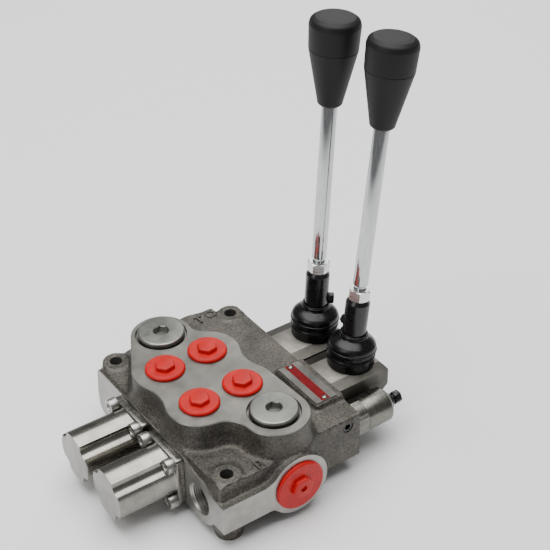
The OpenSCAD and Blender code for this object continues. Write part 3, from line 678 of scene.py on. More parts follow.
def casting_cutters():
    """Everything the machine shop takes off the casting."""
    island = island_outline()
    big = 160
    lid = box("lid", (-60, -120, TOP_Z - 0.7), (big, 120, TOP_Z + 20))
    crown = loft("crown", [(grown(island, 0.35), TOP_Z - 0.9), (grown(island, -0.55), TOP_Z)])
    cut(lid, crown)
    cutters = [
        lid,
        box("cap_end", (-60, -120, -20), (CAP_X, 120, 90)),
        box("lever_end", (BOX_X, -120, -20), (big, 120, 90)),
        box("inlet_side", (-60, -120, -20), (big, INLET[1], 90)),
        box("tank_side", (-60, TANK[1], -20), (big, 120, 90)),
        box("below", (-60, -120, -20), (big, 120, 0)),
        box("below_relief", (66, -90, -5), (110, -38, 13)),
    ]
    for x, y in FEET:
        cutters.append(rod("spot_face", 8.6, 6, (x, y, SHELF_Z + 0.6)))
        cutters.append(rod("bolt_hole", 4.25, 80, (x, y, -10)))
    port = [(0, 30), (5.7, 30), (5.7, 47), (10.48, 50), (10.48, 63.6), (11.6, 65.5), (0, 65.5)]
    seat = [(0, 46.5), (13.5, 46.5), (13.5, 63), (16.9, 63), (16.9, 64.4), (17.6, 65.5), (0, 65.5)]
    cutters += [lathe_at("port", port, x, y) for x, y in PORTS.values()]
    cutters += [lathe_at("plug_seat", seat, x, y) for x, y in (GALLERY, CHECK)]
    thread = [(0, 0), (6.0, 0), (6.0, 9.0)]
    for k in range(5):
        thread += [(9.5, 9.6 + k * 1.45), (10.4, 10.3 + k * 1.45)]
    thread += [(10.48, 16.4), (11.3, 17.6), (0, 17.6)]
    cutters.append(moved(lathe("side_thread", thread), (CAP_X + 17.2, *SIDE_PORT), ALONG_MINUS_X))
    mouth = [(0, 0), (13.22, 0), (13.22, 19), (14.4, 20.4), (0, 20.4)]
    for (x, y), turn in ((INLET, ALONG_MINUS_Y), (TANK, ALONG_Y)):
        deep = y + 20 if y < 0 else y - 20
        cutters.append(moved(lathe("main_port", mouth), (x, deep, AXIS_Z), turn))
    cutters.append(rod("set_plug_hole", 4.0, 12, (SET_PLUG_X, -60, 40), ALONG_MINUS_Y))
    cutters.append(rod("relief_bore", 9.5, 30, (BOX_X - 28, RELIEF_Y, AXIS_Z), ALONG_X))
    for y in SPOOL_Y:
        cutters.append(rod("spool_bore", 8.03, 140, (CAP_X - 10, y, AXIS_Z), ALONG_X))
        for x0 in (CAP_X - 1, BOX_X - 4):
            cutters.append(rod("seal_pocket", 11, 5, (x0, y, AXIS_Z), ALONG_X))
        for sy, sz in CORNERS:
            cap_at = (CAP_X - 1, y + sy * CAP_SCREW, AXIS_Z + sz * CAP_SCREW)
            box_at = (BOX_X - 13, y + sy * BOX_SCREW_Y, AXIS_Z + sz * BOX_SCREW_Z)
            cutters += [rod("cap_thread", 3, 14, cap_at, ALONG_X, 32),
                        rod("box_thread", 2.5, 14, box_at, ALONG_X, 32)]
    for y in RIVET_Y:
        cutters.append(rod("rivet_hole", 1.2, 8, (RIVET_X, y, SHELF_Z - 3), None, 24))
    return cutters


def lathe_at(name, profile, x, y):
    """A turned shape standing upright at x and y."""
    return moved(lathe(name, profile), (x, y, 0))


def casting_rule(c, n):
    """0 cast skin, 1 milled top, 2 ground faces and bores."""
    x, y, z = c
    if (n.z > 0.5 and z > TOP_Z - 1.0) or (n.z > 0.99 and 62.5 < z < TOP_Z):
        return 1
    faced_x = abs(n.x) > 0.99 and min(abs(x - CAP_X), abs(x - BOX_X)) < 0.05
    faced_y = abs(n.y) > 0.99 and min(abs(y - INLET[1]), abs(y - TANK[1])) < 0.05
    underside = n.z < -0.99 and z < 0.05
    bolt_hole = any(math.hypot(x - px, y - py) < 4.4 for px, py in FEET)
    side_port = math.hypot(y - SIDE_PORT[0], z - SIDE_PORT[1]) < 11.5 and x < 8
    if faced_x or faced_y or underside or bolt_hole or side_port:
        return 2
    return int(z > 40 and any(math.hypot(x - px, y - py) < 17.8 for px, py in (GALLERY, CHECK)))


class VALVE_OT_casting(bpy.types.Operator):
    """Fuses, softens and machines the iron casting"""
    bl_idname = "valve.casting"
    bl_label = "Casting"

    def execute(self, context):
        body = casting_blank()
        cut(body, *casting_cutters())
        cut(body, *cast_marks(), how="UNION")
        piece(body, ROOT, ["iron", "milled", "ground"], ["valve_body"], casting_rule, 38)
        return {"FINISHED"}


def cast_marks():
    """Small raised ring beside the third hole, and the plain pressure and tank marks by their ports."""
    ring = lathe_at("mark_ring", round_corners([(2.0, SHELF_Z - 1), (4.2, SHELF_Z - 1), (4.2, SHELF_Z + 0.9),
                                                (2.0, SHELF_Z + 0.9)], [0, 0, 0.5, 0.5]), 79.8, 74.7)
    low, high = SHELF_Z - 1, SHELF_Z + 1.2
    marks = [ring]
    for kind, x, y in (("P", 19.0, -71.5), ("T", 69.5, 73.0)):
        marks.append(box("mark_stem", (x - 0.75, y - 3.6, low), (x + 0.75, y + 3.6, high)))
        if kind == "T":
            marks.append(box("mark_bar", (x - 2.8, y + 2.3, low), (x + 2.8, y + 3.7, high)))
        else:
            bowl = [(0.8, low), (2.2, low), (2.2, high), (0.8, high)]
            marks.append(lathe_at("mark_bowl", bowl, x + 1.3, y + 1.45))
    return marks


# ---------------------------------------------------------------- plugs

def plastic_plug(name, flange_r, knob_r, skirt_r):
    """Flange with a rolled rim, a soft hexagonal knob and a hollow skirt, standing on z = 0."""
    profile = round_corners(
        [(0, 2.2), (flange_r - 1.0, 2.4), (flange_r, 1.4), (flange_r, 0.02),
         (skirt_r, 0.02), (skirt_r - 0.3, -9), (skirt_r - 1.6, -9), (skirt_r - 1.5, -0.8), (0, -0.8)],
        [0, 0.9, 0.7, 0.3, 0, 0.4, 0.4, 0.5, 0], 5, False)
    obj = lathe(name, profile)
    knob = bevelled(prism("knob", round_corners(hexagon(knob_r * 1.84, 8), 1.6, 4), 0.8, 5.2), 1.0, 4)
    return cut(obj, knob, how="UNION")


class VALVE_OT_plugs(bpy.types.Operator):
    """Moulds the plastic plugs of the work, inlet and tank ports"""
    bl_idname = "valve.plugs"
    bl_label = "Plastic plugs"

    def execute(self, context):
        for key, (x, y) in PORTS.items():
            obj = moved(plastic_plug(f"plug_{key}", 13.0, 6.5, 10.25), (x, y, TOP_Z))
            piece(obj, ROOT, ["red"], [f"port_plug_{key}"], angle=60)
        for name, (x, y), turn in (("inlet_port_plug", INLET, ALONG_MINUS_Y),
                                   ("tank_port_plug", TANK, ALONG_Y)):
            obj = plastic_plug("moulded_" + name, 17.25, 7.4, 13.0)
            cut(obj, rod("pocket", 2.2, 4, (0, 0, 3.9)))
            piece(moved(obj, (x, y, AXIS_Z), turn), ROOT, ["red"], [name], angle=40)
        return {"FINISHED"}


def steel_plug(name, x, y, stem):
    """Domed-edge plug head with a hexagon socket over its threaded body."""
    t = TOP_Z
    profile = [(0, t + 3), (15.75, t + 3), (15.75, t + 0.02), (13.35, t + 0.02), (13.35, 47.5), (12.4, 46.5),
               (0, 46.5)]
    obj = lathe(name, round_corners(profile, [0, 1.6, 0.4, 0, 0, 0, 0], 6, False))
    socket = prism("socket", hexagon(9.4, 12), t - 0.9, t + 6)
    rim = lathe("rim", [(0, t + 2.3), (4.7, t + 2.3), (5.7, t + 3.2), (0, t + 3.2)])
    cutters = [socket, rim]
    if stem:
        cutters.append(rod("stem_bore", 4.1, 12, (0, 0, 45.5)))
    cut(obj, *cutters)
    return moved(obj, (x, y, 0))


class VALVE_OT_steel_plugs(bpy.types.Operator):
    """Turns the gallery and load-check plugs with their seals"""
    bl_idname = "valve.steel_plugs"
    bl_label = "Steel plugs"

    def execute(self, context):
        for node, (x, y), stem in (("gallery_plug", GALLERY, False), ("check_valve_plug", CHECK, True)):
            piece(steel_plug("turned_" + node, x, y, stem), ROOT, ["zinc_z"], [node])
            section = [(13.6, 63.02), (15.7, 63.02), (15.7, 64.98), (13.6, 64.98)]
            seal = lathe_at("ring_" + node, round_corners(section, 0.7), x, y)
            piece(seal, ROOT, ["rubber"], [node + "_seal"], angle=60)
        return {"FINISHED"}


class VALVE_OT_nameplate(bpy.types.Operator):
    """Makes the plain printed plate, its rivets and the socket set plug"""
    bl_idname = "valve.nameplate"
    bl_label = "Nameplate"

    def execute(self, context):
        z = PLATE_Z
        plate = box("plate", (79.5, -50.4, z), (95.5, -8.0, z + 0.7))
        cut(plate, *[rod("hole", 1.3, 5, (RIVET_X, y, z - 2), None, 32) for y in reversed(RIVET_Y)])
        bevelled(plate, 0.12, 1)
        # One plain printed band, with nothing written on it
        band = box("band", (84.2, -50.0, z + 0.66), (90.4, -8.4, z + 0.76))

        def rule(c, n):
            return 1 if c[2] > z + 0.73 else 0

        piece(joined("printed_plate", [plate, band]), ROOT, ["plate", "print"],
              ["nameplate"], rule)
        profile = [(0, z - 5.2), (1.15, z - 5.2), (1.15, z + 0.7), (2.0, z + 0.72), (1.8, z + 1.2),
                   (1.2, z + 1.5), (0, z + 1.6)]
        rivets = [lathe_at("rivet", profile, RIVET_X, y) for y in RIVET_Y]
        piece(joined("rivets", rivets), ROOT, ["cap"], ["nameplate_rivets"], angle=50)
        shape = round_corners([(0, 0), (3.95, 0), (3.95, 8), (0, 8)], [0, 0.5, 0.5, 0], 2, False)
        plug = lathe("set_screw", shape)
        cut(plug, prism("socket", hexagon(4), -1, 4))
        piece(moved(plug, (SET_PLUG_X, -69.6, 40), ALONG_Y), ROOT, ["enamel"], ["set_plug"])
        return {"FINISHED"}


# ---------------------------------------------------------------- spring caps and screws

def corner_angle(a, b, opposite):
    """The angle between sides a and b of a triangle, in radians."""
    return math.acos((a * a + b * b - opposite * opposite) / (2 * a * b))


def cap_outline(grow=0.0):
    """Section of a cap's barrel: a cylinder with a flute at each screw."""
    big, flute = 17.2 + grow, 5.9 - grow
    far = CAP_SCREW * math.sqrt(2)
    edge = 45 - math.degrees(corner_angle(big, far, flute))
    half = corner_angle(flute, far, big)
    points = []
    for q in range(4):
        lobe = [math.radians(90 * q + edge * k / 8) for k in range(-8, 9)]
        points += [(big * math.cos(a), big * math.sin(a)) for a in lobe]
        turn = math.radians(90 * q + 45)
        x, y = far * math.cos(turn), far * math.sin(turn)
        dip = [turn + math.pi + half * (1 - k / 6) for k in range(1, 12)]
        points += [(x + flute * math.cos(a), y + flute * math.sin(a)) for a in dip]
    return points


def spring_cap(name, y):
    """A fluted barrel with a closed end, a square flange and four screw holes."""
    end = CAP_X - CAP_LENGTH
    barrel = loft(name, [(cap_outline(-0.9), end), (cap_outline(-0.25), end + 0.2),
                         (cap_outline(), end + 0.9),
                         (cap_outline(), CAP_X - 4.5)])
    square = round_corners([(-18, -18), (18, -18), (18, 18), (-18, 18)], 2.2)
    flange = bevelled(prism("flange", square, CAP_X - CAP_FLANGE, CAP_X), 0.6, 2)
    root = loft("root", [(cap_outline(), CAP_X - 6.6), (cap_outline(0.35), CAP_X - 5.9),
                         (cap_outline(0.9), CAP_X - 5.3)])
    cut(barrel, flange, root, how="UNION")
    bore = lathe("bore", [(0, end + 3.2), (12.5, end + 3.2), (12.5, CAP_X + 1), (0, CAP_X + 1)])
    holes = [rod("hole", 3.2, 8, (sy * CAP_SCREW, sz * CAP_SCREW, CAP_X - 6.5), None, 32) for sy,
             sz in CORNERS]
    cut(barrel, bore, *holes)
    return moved(barrel, (0, y, AXIS_Z), FACING_X)


class VALVE_OT_spring_caps(bpy.types.Operator):
    """Makes the two fluted spring caps"""
    bl_idname = "valve.spring_caps"
    bl_label = "Spring caps"

    def execute(self, context):
        # A cap's closed end takes the paler ground finish: partly a faced end, partly painted light on that
        # lit face
        def rule(c, n):
            return 1 if n.x < -0.95 and c[0] < CAP_X - 45 else 0

        for i, y in enumerate(SPOOL_Y, 1):
            piece(spring_cap(f"cap_{i}", y), ROOT, ["cap", "ground"], [f"spring_cap_{i}"],
                  rule)
        return {"FINISHED"}


def open_tree(name, numbers):
    """Starts a geometry tree with number inputs and a metal.
    Returns the tree, its number inputs by name, the metal input and the input node."""
    tree = bpy.data.node_groups.new(name, "GeometryNodeTree")
    face = tree.interface
    face.new_socket("Geometry", in_out="INPUT", socket_type="NodeSocketGeometry")
    sizes = {n: face.new_socket(n, in_out="INPUT", socket_type="NodeSocketFloat") for n in numbers}
    metal = face.new_socket("Metal", in_out="INPUT", socket_type="NodeSocketMaterial")
    face.new_socket("Geometry", in_out="OUTPUT", socket_type="NodeSocketGeometry")
    return tree, sizes, metal, add(tree, "NodeGroupInput")


def close_tree(tree, shape, start):
    """Makes the shape real, paints it with the metal and sends it out."""
    real = add(tree, "GeometryNodeRealizeInstances", links={"Geometry": shape}).outputs[0]
    painted = add(tree, "GeometryNodeSetMaterial",
                  links={"Geometry": real, "Material": start.outputs["Metal"]}).outputs[0]
    add(tree, "NodeGroupOutput", links={"Geometry": painted})


def times(tree, value, factor):
    """A node tree's value times a number."""
    return add(tree, "ShaderNodeMath", {"operation": "MULTIPLY", 1: factor}, {0: value}).outputs[0]


def lifted(tree, shape, height):
    """A node tree's shape moved up."""
    up = add(tree, "ShaderNodeCombineXYZ", links={"Z": height}).outputs[0]
    return add(tree, "GeometryNodeTransform", links={"Geometry": shape, "Translation": up}).outputs[0]


def cylinder(tree, sides, radius, depth, height):
    """A cylinder round Z whose middle is at a height."""
    node = add(tree, "GeometryNodeMeshCylinder", {"Vertices": sides}, {"Radius": radius, "Depth": depth})
    return lifted(tree, node.outputs["Mesh"], height)


def screw_tree():
    """Geometry nodes: a socket-head screw on every point, tilted from +Z by Turn about Y."""
    tree, sizes, metal, start = open_tree("socket_screws", (
        "Head radius", "Head height", "Shank radius", "Shank length", "Socket radius", "Turn"))
    size = start.outputs
    tall = size["Head height"]
    head = cylinder(tree, 40, size["Head radius"], tall, times(tree, tall, 0.5))
    deep = cylinder(tree, 6, size["Socket radius"], tall, tall)
    drilled = add(tree, "GeometryNodeMeshBoolean", {"operation": "DIFFERENCE", "solver": "EXACT"})
    tree.links.new(head, drilled.inputs[0])
    tree.links.new(deep, drilled.inputs[1])
    long = size["Shank length"]
    shank = cylinder(tree, 24, size["Shank radius"], long, times(tree, long, -0.5))
    both = add(tree, "GeometryNodeJoinGeometry")
    tree.links.new(shank, both.inputs[0])
    tree.links.new(drilled.outputs[0], both.inputs[0])
    tilt = add(tree, "ShaderNodeCombineXYZ", links={"Y": size["Turn"]}).outputs[0]
    spread = add(tree, "GeometryNodeInstanceOnPoints",
                 links={"Points": size["Geometry"], "Instance": both.outputs[0], "Rotation": tilt}).outputs[0]
    close_tree(tree, spread, start)
    return tree, sizes, metal


def filled(obj, key, build, finish, values):
    """Runs a node tree, built once, on an object with its own numbers."""
    if key not in made:
        made[key] = build()
    tree, sizes, metal = made[key]
    mod = obj.modifiers.new(key, "NODES")
    mod.node_group = tree
    for name, value in values.items():
        mod[sizes[name].identifier] = value
    mod[metal.identifier] = finish_of(finish)
    return applied(obj)


def screws(name, points, head_r, head_h, shank_r, length, socket_r, turn):
    """Screws whose heads sit on the points."""
    values = {"Head radius": head_r * MM, "Head height": head_h * MM, "Shank radius": shank_r * MM,
              "Shank length": length * MM, "Socket radius": socket_r * MM, "Turn": turn}
    obj = filled(new_object(name, points, []), "socket_screws", screw_tree, "screw", values)
    return bevelled(obj, 0.35, 2, 50)


class VALVE_OT_screws(bpy.types.Operator):
    """Sets the socket screws of the caps and the lever boxes"""
    bl_idname = "valve.screws"
    bl_label = "Screws"

    def execute(self, context):
        for i, y in enumerate(SPOOL_Y, 1):
            at = [(CAP_X - CAP_FLANGE, y + sy * CAP_SCREW, AXIS_Z + sz * CAP_SCREW) for sy, sz in CORNERS]
            obj = screws(f"cap_screw_set_{i}", at, 4.98, 6.0, 2.95, 17.5, 2.9, -math.pi / 2)
            piece(obj, ROOT, ["screw"], [f"cap_screws_{i}"])
            both = []
            for (sz, x), length in zip(BOX_SEATS, (45.4, 29.0)):
                at = [(x, y + sy * BOX_SCREW_Y, AXIS_Z + sz * BOX_SCREW_Z) for sy in BOTH]
                both.append(screws("box_row", at, 4.24, 5.0, 2.44, length, 2.3, math.pi / 2))
            piece(joined(f"box_screw_set_{i}", both), ROOT, ["screw"], [f"box_screws_{i}"])
        return {"FINISHED"}


# ---------------------------------------------------------------- lever boxes and boots

def lever_box(name, y):
    """A hollow box with a collar for its boot and recessed screws."""
    far = BOX_FAR
    side = [(BOX_X, BELLY_Z), (BOX_X + 14.7, BELLY_Z), (BOX_X + 34.7, 18.5), (far, 29), (far, BOX_TOP),
            (BOX_X, BOX_TOP)]
    shell = along_y(name, round_corners(side, [0, 3, 3, 2, 3.0, 0], 4), y, BOX_HALF)
    # Shoulders fall away beside the flat top and round the free end
    slopes = [[(s * 10.6, 44.2), (s * 21, 44.2), (s * 21, 41.2), (s * 12.2, 43.2)] for s in BOTH]
    ramps = [moved(prism("ramp", slope, BOX_X - 1, far + 1), (0, y, 0), FACING_X) for slope in slopes]
    nose = along_y("nose", [(far - 2.4, 44.0), (far + 1, 44.0), (far + 1, 41.6), (far, 42.1)], y, 21)
    cut(shell, *ramps, nose)
    cut(shell, lathe_at("collar", [(0, 42), (13.2, 42), (13.2, 51), (0, 51)], PIVOT[0], y), how="UNION")
    inside = [(BOX_X - 1, 12), (BOX_X + 15.2, 12), (BOX_X + 35.2, 21), (far - 3, 29), (far - 3, 41),
              (BOX_X - 1, 41)]
    cutters = [along_y("cavity", inside, y, 9.6),
               lathe_at("mouth", [(0, 34), (10.5, 34), (10.5, 60), (0, 60)], PIVOT[0], y),
               rod("pin_hole", 3.0, 40, (PIVOT[0], y + 20, PIVOT[1]), ALONG_MINUS_Y)]
    for sy in BOTH:
        for sz, x in BOX_SEATS:
            at = (y + sy * BOX_SCREW_Y, AXIS_Z + sz * BOX_SCREW_Z)
            cutters.append(rod("screw_hole", 2.7, 60, (BOX_X - 1, *at), ALONG_X, 32))
            cutters.append(rod("screw_pocket", 4.45, 40, (x, *at), ALONG_X, 48))
    cut(shell, *cutters)
    return bevelled(shell, 0.4, 2, 35)


class VALVE_OT_lever_boxes(bpy.types.Operator):
    """Makes the two lever boxes"""
    bl_idname = "valve.lever_boxes"
    bl_label = "Lever boxes"

    def execute(self, context):
        for i, y in enumerate(SPOOL_Y, 1):
            def rule(c, n, y=y):
                flat = n.z > 0.98 and abs(c[2] - BOX_TOP) < 0.3 and abs(c[1] - y) < 10.8
                return 1 if flat else 0
            piece(lever_box(f"box_{i}", y), ROOT, ["box", "pad"], [f"lever_box_{i}"], rule)
        return {"FINISHED"}


def lean_matrix(i):
    """From a shape drawn up from the fulcrum to its leaning place."""
    return (Matrix.Translation([PIVOT[0] * MM, SPOOL_Y[i] * MM, PIVOT[1] * MM])
            @ Matrix.Rotation(math.radians(LEAN[i]), 4, "Y"))


def boot(i):
    """A moulded bellows: upright band on the box, two lips, a dome and a ringed neck
    that leans with the lever."""
    profile = [(13.45, 0.0), (15.7, 0.0), (15.9, 0.5), (15.7, 5.8), (16.1, 6.2), (16.5, 6.6), (16.6, 7.4),
               (16.3, 7.9), (15.9, 8.4), (15.4, 9.3), (15.3, 10.2), (15.7, 10.8), (16.6, 11.1), (16.75, 11.9),
               (16.55, 12.6), (16.1, 12.9), (16.1, 14.2), (15.6, 15.6), (14.2, 17.1), (12.6, 18.3),
               (11.0, 19.3), (9.7, 20.2), (9.15, 20.9), (9.1, 21.4), (9.6, 21.8), (9.75, 22.4),
               (9.4, 22.9), (9.1, 23.1), (9.2, 23.5), (9.0, 23.9), (8.05, 23.9), (8.05, 20.0), (9.6, 18.6),
               (12.4, 16.8),
               (13.8, 14.6), (13.9, 12.0), (13.6, 9.6), (13.45, 8.0)]
    obj = lathe(f"bellows_{i + 1}", round_corners(profile, 0.3, 2))
    lean = Matrix.Rotation(math.radians(LEAN[i]), 4, "Y")
    fulcrum = Vector((0, 0, 4.0 * MM))
    for v in obj.data.vertices:
        h = v.co.z / MM
        t = min(1, max(0, (h - 5.0) / 8.0))
        t = t * t * (3 - 2 * t)
        leaning = lean @ (v.co - fulcrum) + fulcrum
        v.co = v.co.lerp(leaning, t)
    return moved(obj, (PIVOT[0], SPOOL_Y[i], BOX_TOP + 0.02))


class VALVE_OT_boots(bpy.types.Operator):
    """Moulds the rubber boots, each bent to the lean of its lever"""
    bl_idname = "valve.boots"
    bl_label = "Boots"

    def execute(self, context):
        for i in (0, 1):
            obj = boot(i)
            shaded(obj, 60)
            obj.data.materials.append(finish_of("rubber"))
            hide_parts(f"lever_boot_{i + 1}")
            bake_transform(obj)
        return {"FINISHED"}


# ---------------------------------------------------------------- levers

def threaded(r, low, high, pitch, depth=0.55):
    """Profile points of a thread between two heights, going up."""
    points = []
    turns = int((high - low) / pitch)
    for k in range(turns):
        points += [(r, low + k * pitch), (r - depth, low + (k + 0.5) * pitch)]
    return points + [(r, low + turns * pitch)]


class VALVE_OT_levers(bpy.types.Operator):
    """Makes each lever's hub, bolt, lock nut, rod and knob"""
    bl_idname = "valve.levers"
    bl_label = "Levers"

    def execute(self, context):
        pitch = context.scene.valve_sizes.thread_pitch / MM
        for i in (0, 1):
            n = str(i + 1)
            body = "lever_" + n
            place = lean_matrix(i)

            hub = lathe("hub_" + n, round_corners([(0, 2), (8, 2), (8, 42.7), (6.5, HUB_TOP), (0, HUB_TOP)],
                                                  [0, 1, 0.5, 0.3, 0], 4, False))
            barrel = moved(lathe("barrel", [(0, 0), (7, 0), (7, 15), (0, 15)], 64), (0, 7.5, 0),
                           ALONG_MINUS_Y)
            arm_turn = Matrix.Rotation(math.atan(BALL[0] / BALL[1]) - math.radians(LEAN[i]), 4, "Y")
            arm = math.hypot(*BALL)
            bends = [math.radians(a) for a in range(0, 136, 9)]
            ball = [(4 * math.sin(a), -arm - 4 * math.cos(a)) for a in bends]
            neck = [(2.5, -arm + 3.4), (2.5, -arm + 9), (3.5, -arm + 10.5), (3.5, 0), (0, 0)]
            stalk = lathe("stalk", [(0.0, ball[0][1])] + ball[1:] + neck, 64)
            stalk.data.transform(arm_turn)
            cut(hub, barrel, stalk, how="UNION")
            cut(hub, rod("pin_bore", 3.05, 30, (0, 15, 0), ALONG_MINUS_Y),
                rod("rod_bore", 4.05, 30, (0, 0, 30.3)),
                moved(rod("bolt_bore", 2.0, 30, (-7.2, 0, HUB_BOLT), ALONG_X, 32), turn=BOLT_TURN[i]))
            hub.data.transform(place)
            piece(hub, body, ["enamel"], ["lever_hub_" + n])

            bolt = bevelled(prism("bolt_" + n, hexagon(6.6, 30), 8.1, 11.9), 0.35, 2)
            bolt = joined("bolt_" + n, [bolt, rod("shank", 1.95, 15.4, (0, 0, -7), None, 32)])
            bolt.data.transform(place @ BOLT_TURN[i] @ Matrix.Translation((0, 0, HUB_BOLT * MM)) @ ALONG_X)
            piece(bolt, body, ["enamel"], ["hub_bolt_" + n])

            nut = prism("nut_" + n, hexagon(13, NUT_TURN[i]), 0, 7.4)
            crown = lathe("crown", [(0, -0.1), (6.4, -0.1), (7.6, 0.75), (7.6, 6.6), (6.4, 7.5), (0, 7.5)],
                          64)
            cut(nut, crown, how="INTERSECT")
            cut(nut, lathe("nut_bore", [(0, -1), (4.6, -1), (4.05, 0.6), (4.05, 6.8), (4.6, 8.4), (0, 8.4)],
                           64))
            nut.data.transform(place @ Matrix.Translation((0, 0, NUT_FOOT * MM)))
            piece(nut, body, ["nut"], ["lock_nut_" + n])

            profile = [(0, 31.3), (3.4, 31.3)] + threaded(3.95, 32.2, 55.6, pitch)
            profile += [(3.7, 56.0), (4.5, 56.0), (4.98, 56.6), (4.98, 186.8), (4.4, 187.8), (0, 187.8)]
            stem = lathe("stem_" + n, profile, 64)
            stem.data.transform(place)
            piece(stem, body, ["chrome"], ["lever_rod_" + n])

            foot = KNOB_FOOT
            grip = [(5.05, foot), (6.4, foot), (8.0, foot + 1.4), (8.3, foot + 3.2), (15.5, foot + 37.4),
                    (15.3, foot + 37.7), (15.6, foot + 38.0), (16.2, foot + 53.4), (15.3, foot + 56.4),
                    (12.6, foot + 58.2), (9.0, foot + 58.6), (0, foot + 58.6)]
            radii = [0, 0, 2, 2, 0.1, 0, 0.1, 4, 3, 3, 3, 0]
            grip = round_corners(grip, radii, 6, False) + [(0, foot + 20.5), (5.05, foot + 20.5)]
            knob = lathe("grip_" + n, grip)
            knob.data.transform(place)
            piece(knob, body, ["knob"], ["lever_knob_" + n], angle=50)
            keep("fulcrum_pin_" + n, "ground_steel")
        return {"FINISHED"}


# ---------------------------------------------------------------- relief valve

class VALVE_OT_relief(bpy.types.Operator):
    """Turns the relief cartridge with its seal, lock nut and adjuster"""
    bl_idname = "valve.relief"
    bl_label = "Relief valve"

    def execute(self, context):
        def in_line(obj):
            return moved(obj, (0, RELIEF_Y, AXIS_Z), FACING_X)

        x0, end = BOX_X, RELIEF_END
        outer = lathe("cartridge", round_corners(
            [(0, 58), (6.9, 58), (6.9, 72), (9.45, 72), (9.45, x0 + 1.6), (11.6, x0 + 1.6), (11.6, x0 + 13.5),
             (11.8, x0 + 13.5), (11.8, end - 3.0), (9.0, end - 0.4), (8.6, end), (0, end)],
            [0, 0.5, 0, 0.3, 0, 0, 0, 0.4, 0.8, 0.4, 0.2, 0], 4, False))
        nut = prism("nut", hexagon(22, 30), x0 + 1.6, x0 + 13.6)
        rounds = lathe("rounds", [(0, x0 + 1.5), (11.6, x0 + 1.5), (12.68, x0 + 2.5), (12.68, x0 + 12.4),
                                  (11.8, x0 + 13.7), (0, x0 + 13.7)])
        cut(nut, rounds, how="INTERSECT")
        cut(outer, nut, how="UNION")
        core = lathe("core", [(0, 57), (2.5, 57), (2.5, 63), (5, 63), (5, end - 5),
                              (4.05, end - 5), (4.05, 136), (0, 136)])
        groove = lathe("groove", [(8.9, end - 0.5), (10.5, end - 0.5), (10.5, end + 1),
                                  (8.0, end + 1), (8.0, end - 0.5)])
        cut(outer, core, groove)
        piece(in_line(outer), ROOT, ["zinc_x"], ["relief_cartridge"])

        section = [(9.6, x0 + 0.02), (11.7, x0 + 0.02), (11.7, x0 + 1.58), (9.6, x0 + 1.58)]
        seal = lathe("relief_ring", round_corners(section, 0.5))
        piece(in_line(seal), ROOT, ["rubber"], ["relief_seal"], angle=60)

        section = [(3.05, end), (6.9, end), (6.6, end + 1.6), (4.3, end + 4.0), (3.05, end + 4.0)]
        cone = lathe("cone_nut", round_corners(section, [0, 0.4, 0.8, 0.4, 0]), 64)
        piece(in_line(cone), ROOT, ["enamel"], ["relief_lock_nut"], angle=40)

        head_x = end + 5.75
        shank = lathe("adjuster", [(0, 111.4), (3.4, 111.4)] + threaded(3.98, 112.2, end - 0.3, 1.25, 0.5)
                      + [(3.0, end - 0.2), (3.0, head_x + 0.5), (0, head_x + 0.5)], 64)
        head = bevelled(prism("head", hexagon(8), head_x, head_x + 5), 0.4, 2)
        cut(head, prism("socket", hexagon(4), head_x + 2.5, head_x + 6))
        screw = joined("adjusting_screw", [shank, head])
        piece(in_line(screw), "relief_adjuster", ["enamel"], ["relief_adjuster"])
        keep("relief_poppet", "ground_steel")
        keep("relief_spring_seat", "ground_steel")
        return {"FINISHED"}


# ---------------------------------------------------------------- inside

def spring_tree():
    """Geometry nodes: a closed wire helix along +Z from its own sizes."""
    tree, sizes, metal, start = open_tree("coil_spring", ("Coil radius", "Wire radius", "Length", "Turns"))
    size = start.outputs
    twice = times(tree, size["Wire radius"], 2.0)
    rise = add(tree, "ShaderNodeMath", {"operation": "SUBTRACT"}, {0: size["Length"], 1: twice}).outputs[0]
    path = add(tree, "GeometryNodeCurveSpiral", {"Resolution": 28},
               {"Start Radius": size["Coil radius"], "End Radius": size["Coil radius"], "Height": rise,
                "Rotations": size["Turns"]}).outputs[0]
    ring = add(tree, "GeometryNodeCurvePrimitiveCircle", {"Resolution": 12}, {"Radius": size["Wire radius"]})
    wire = add(tree, "GeometryNodeCurveToMesh", {"Fill Caps": True},
               {"Curve": path, "Profile Curve": ring.outputs[0]}).outputs[0]
    close_tree(tree, lifted(tree, wire, size["Wire radius"]), start)
    return tree, sizes, metal


def spring(name, radius, wire, length, turns, place, turn, node):
    """A coil of fixed length set in place between the pieces that hold it."""
    values = {"Coil radius": radius * MM, "Wire radius": wire / 2 * MM, "Length": length * MM, "Turns": turns}
    obj = filled(new_object(name, [(0, 0, 0)], []), "coil_spring", spring_tree, "spring", values)
    moved(outward(obj), place, turn)
    shaded(obj, 60)
    obj.data.materials.clear()
    obj.data.materials.append(finish_of("spring"))
    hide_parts(node)
    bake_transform(obj)


class VALVE_OT_inside(bpy.types.Operator):
    """Winds the springs and finishes the spools, seats and seals"""
    bl_idname = "valve.inside"
    bl_label = "Inner pieces"

    def execute(self, context):
        for i, y in enumerate(SPOOL_Y, 1):
            spring(f"return_coil_{i}", 10.2, 2.2, 24.1, 5, (-39.9, y, AXIS_Z), ALONG_X,
                   f"centring_spring_{i}")
            for node in (f"spool_{i}", f"inner_spring_seat_{i}", f"outer_spring_seat_{i}"):
                keep(node, "ground_steel")
            keep(f"spring_bolt_{i}", "screw")
            for side in ("cap", "lever"):
                keep(f"{side}_side_seal_{i}", "rubber")
        keep("check_poppet", "ground_steel")
        spring("check_coil", 5.4, 1.2, 7.2, 3, (*CHECK, 39.1), None, "check_spring")
        # The relief spring is pressed from both ends, so its halves meet on the still middle
        half_turn = Matrix.Rotation(math.pi, 4, "X")
        spring("relief_coil_front", 3.5, 1.4, 19, 3.5, (69.1, RELIEF_Y, AXIS_Z), ALONG_X, "relief_spring")
        spring("relief_coil_rear", 3.5, 1.4, 19, 3.5, (88.1, RELIEF_Y, AXIS_Z), half_turn @ ALONG_X,
               "relief_spring")
        return {"FINISHED"}


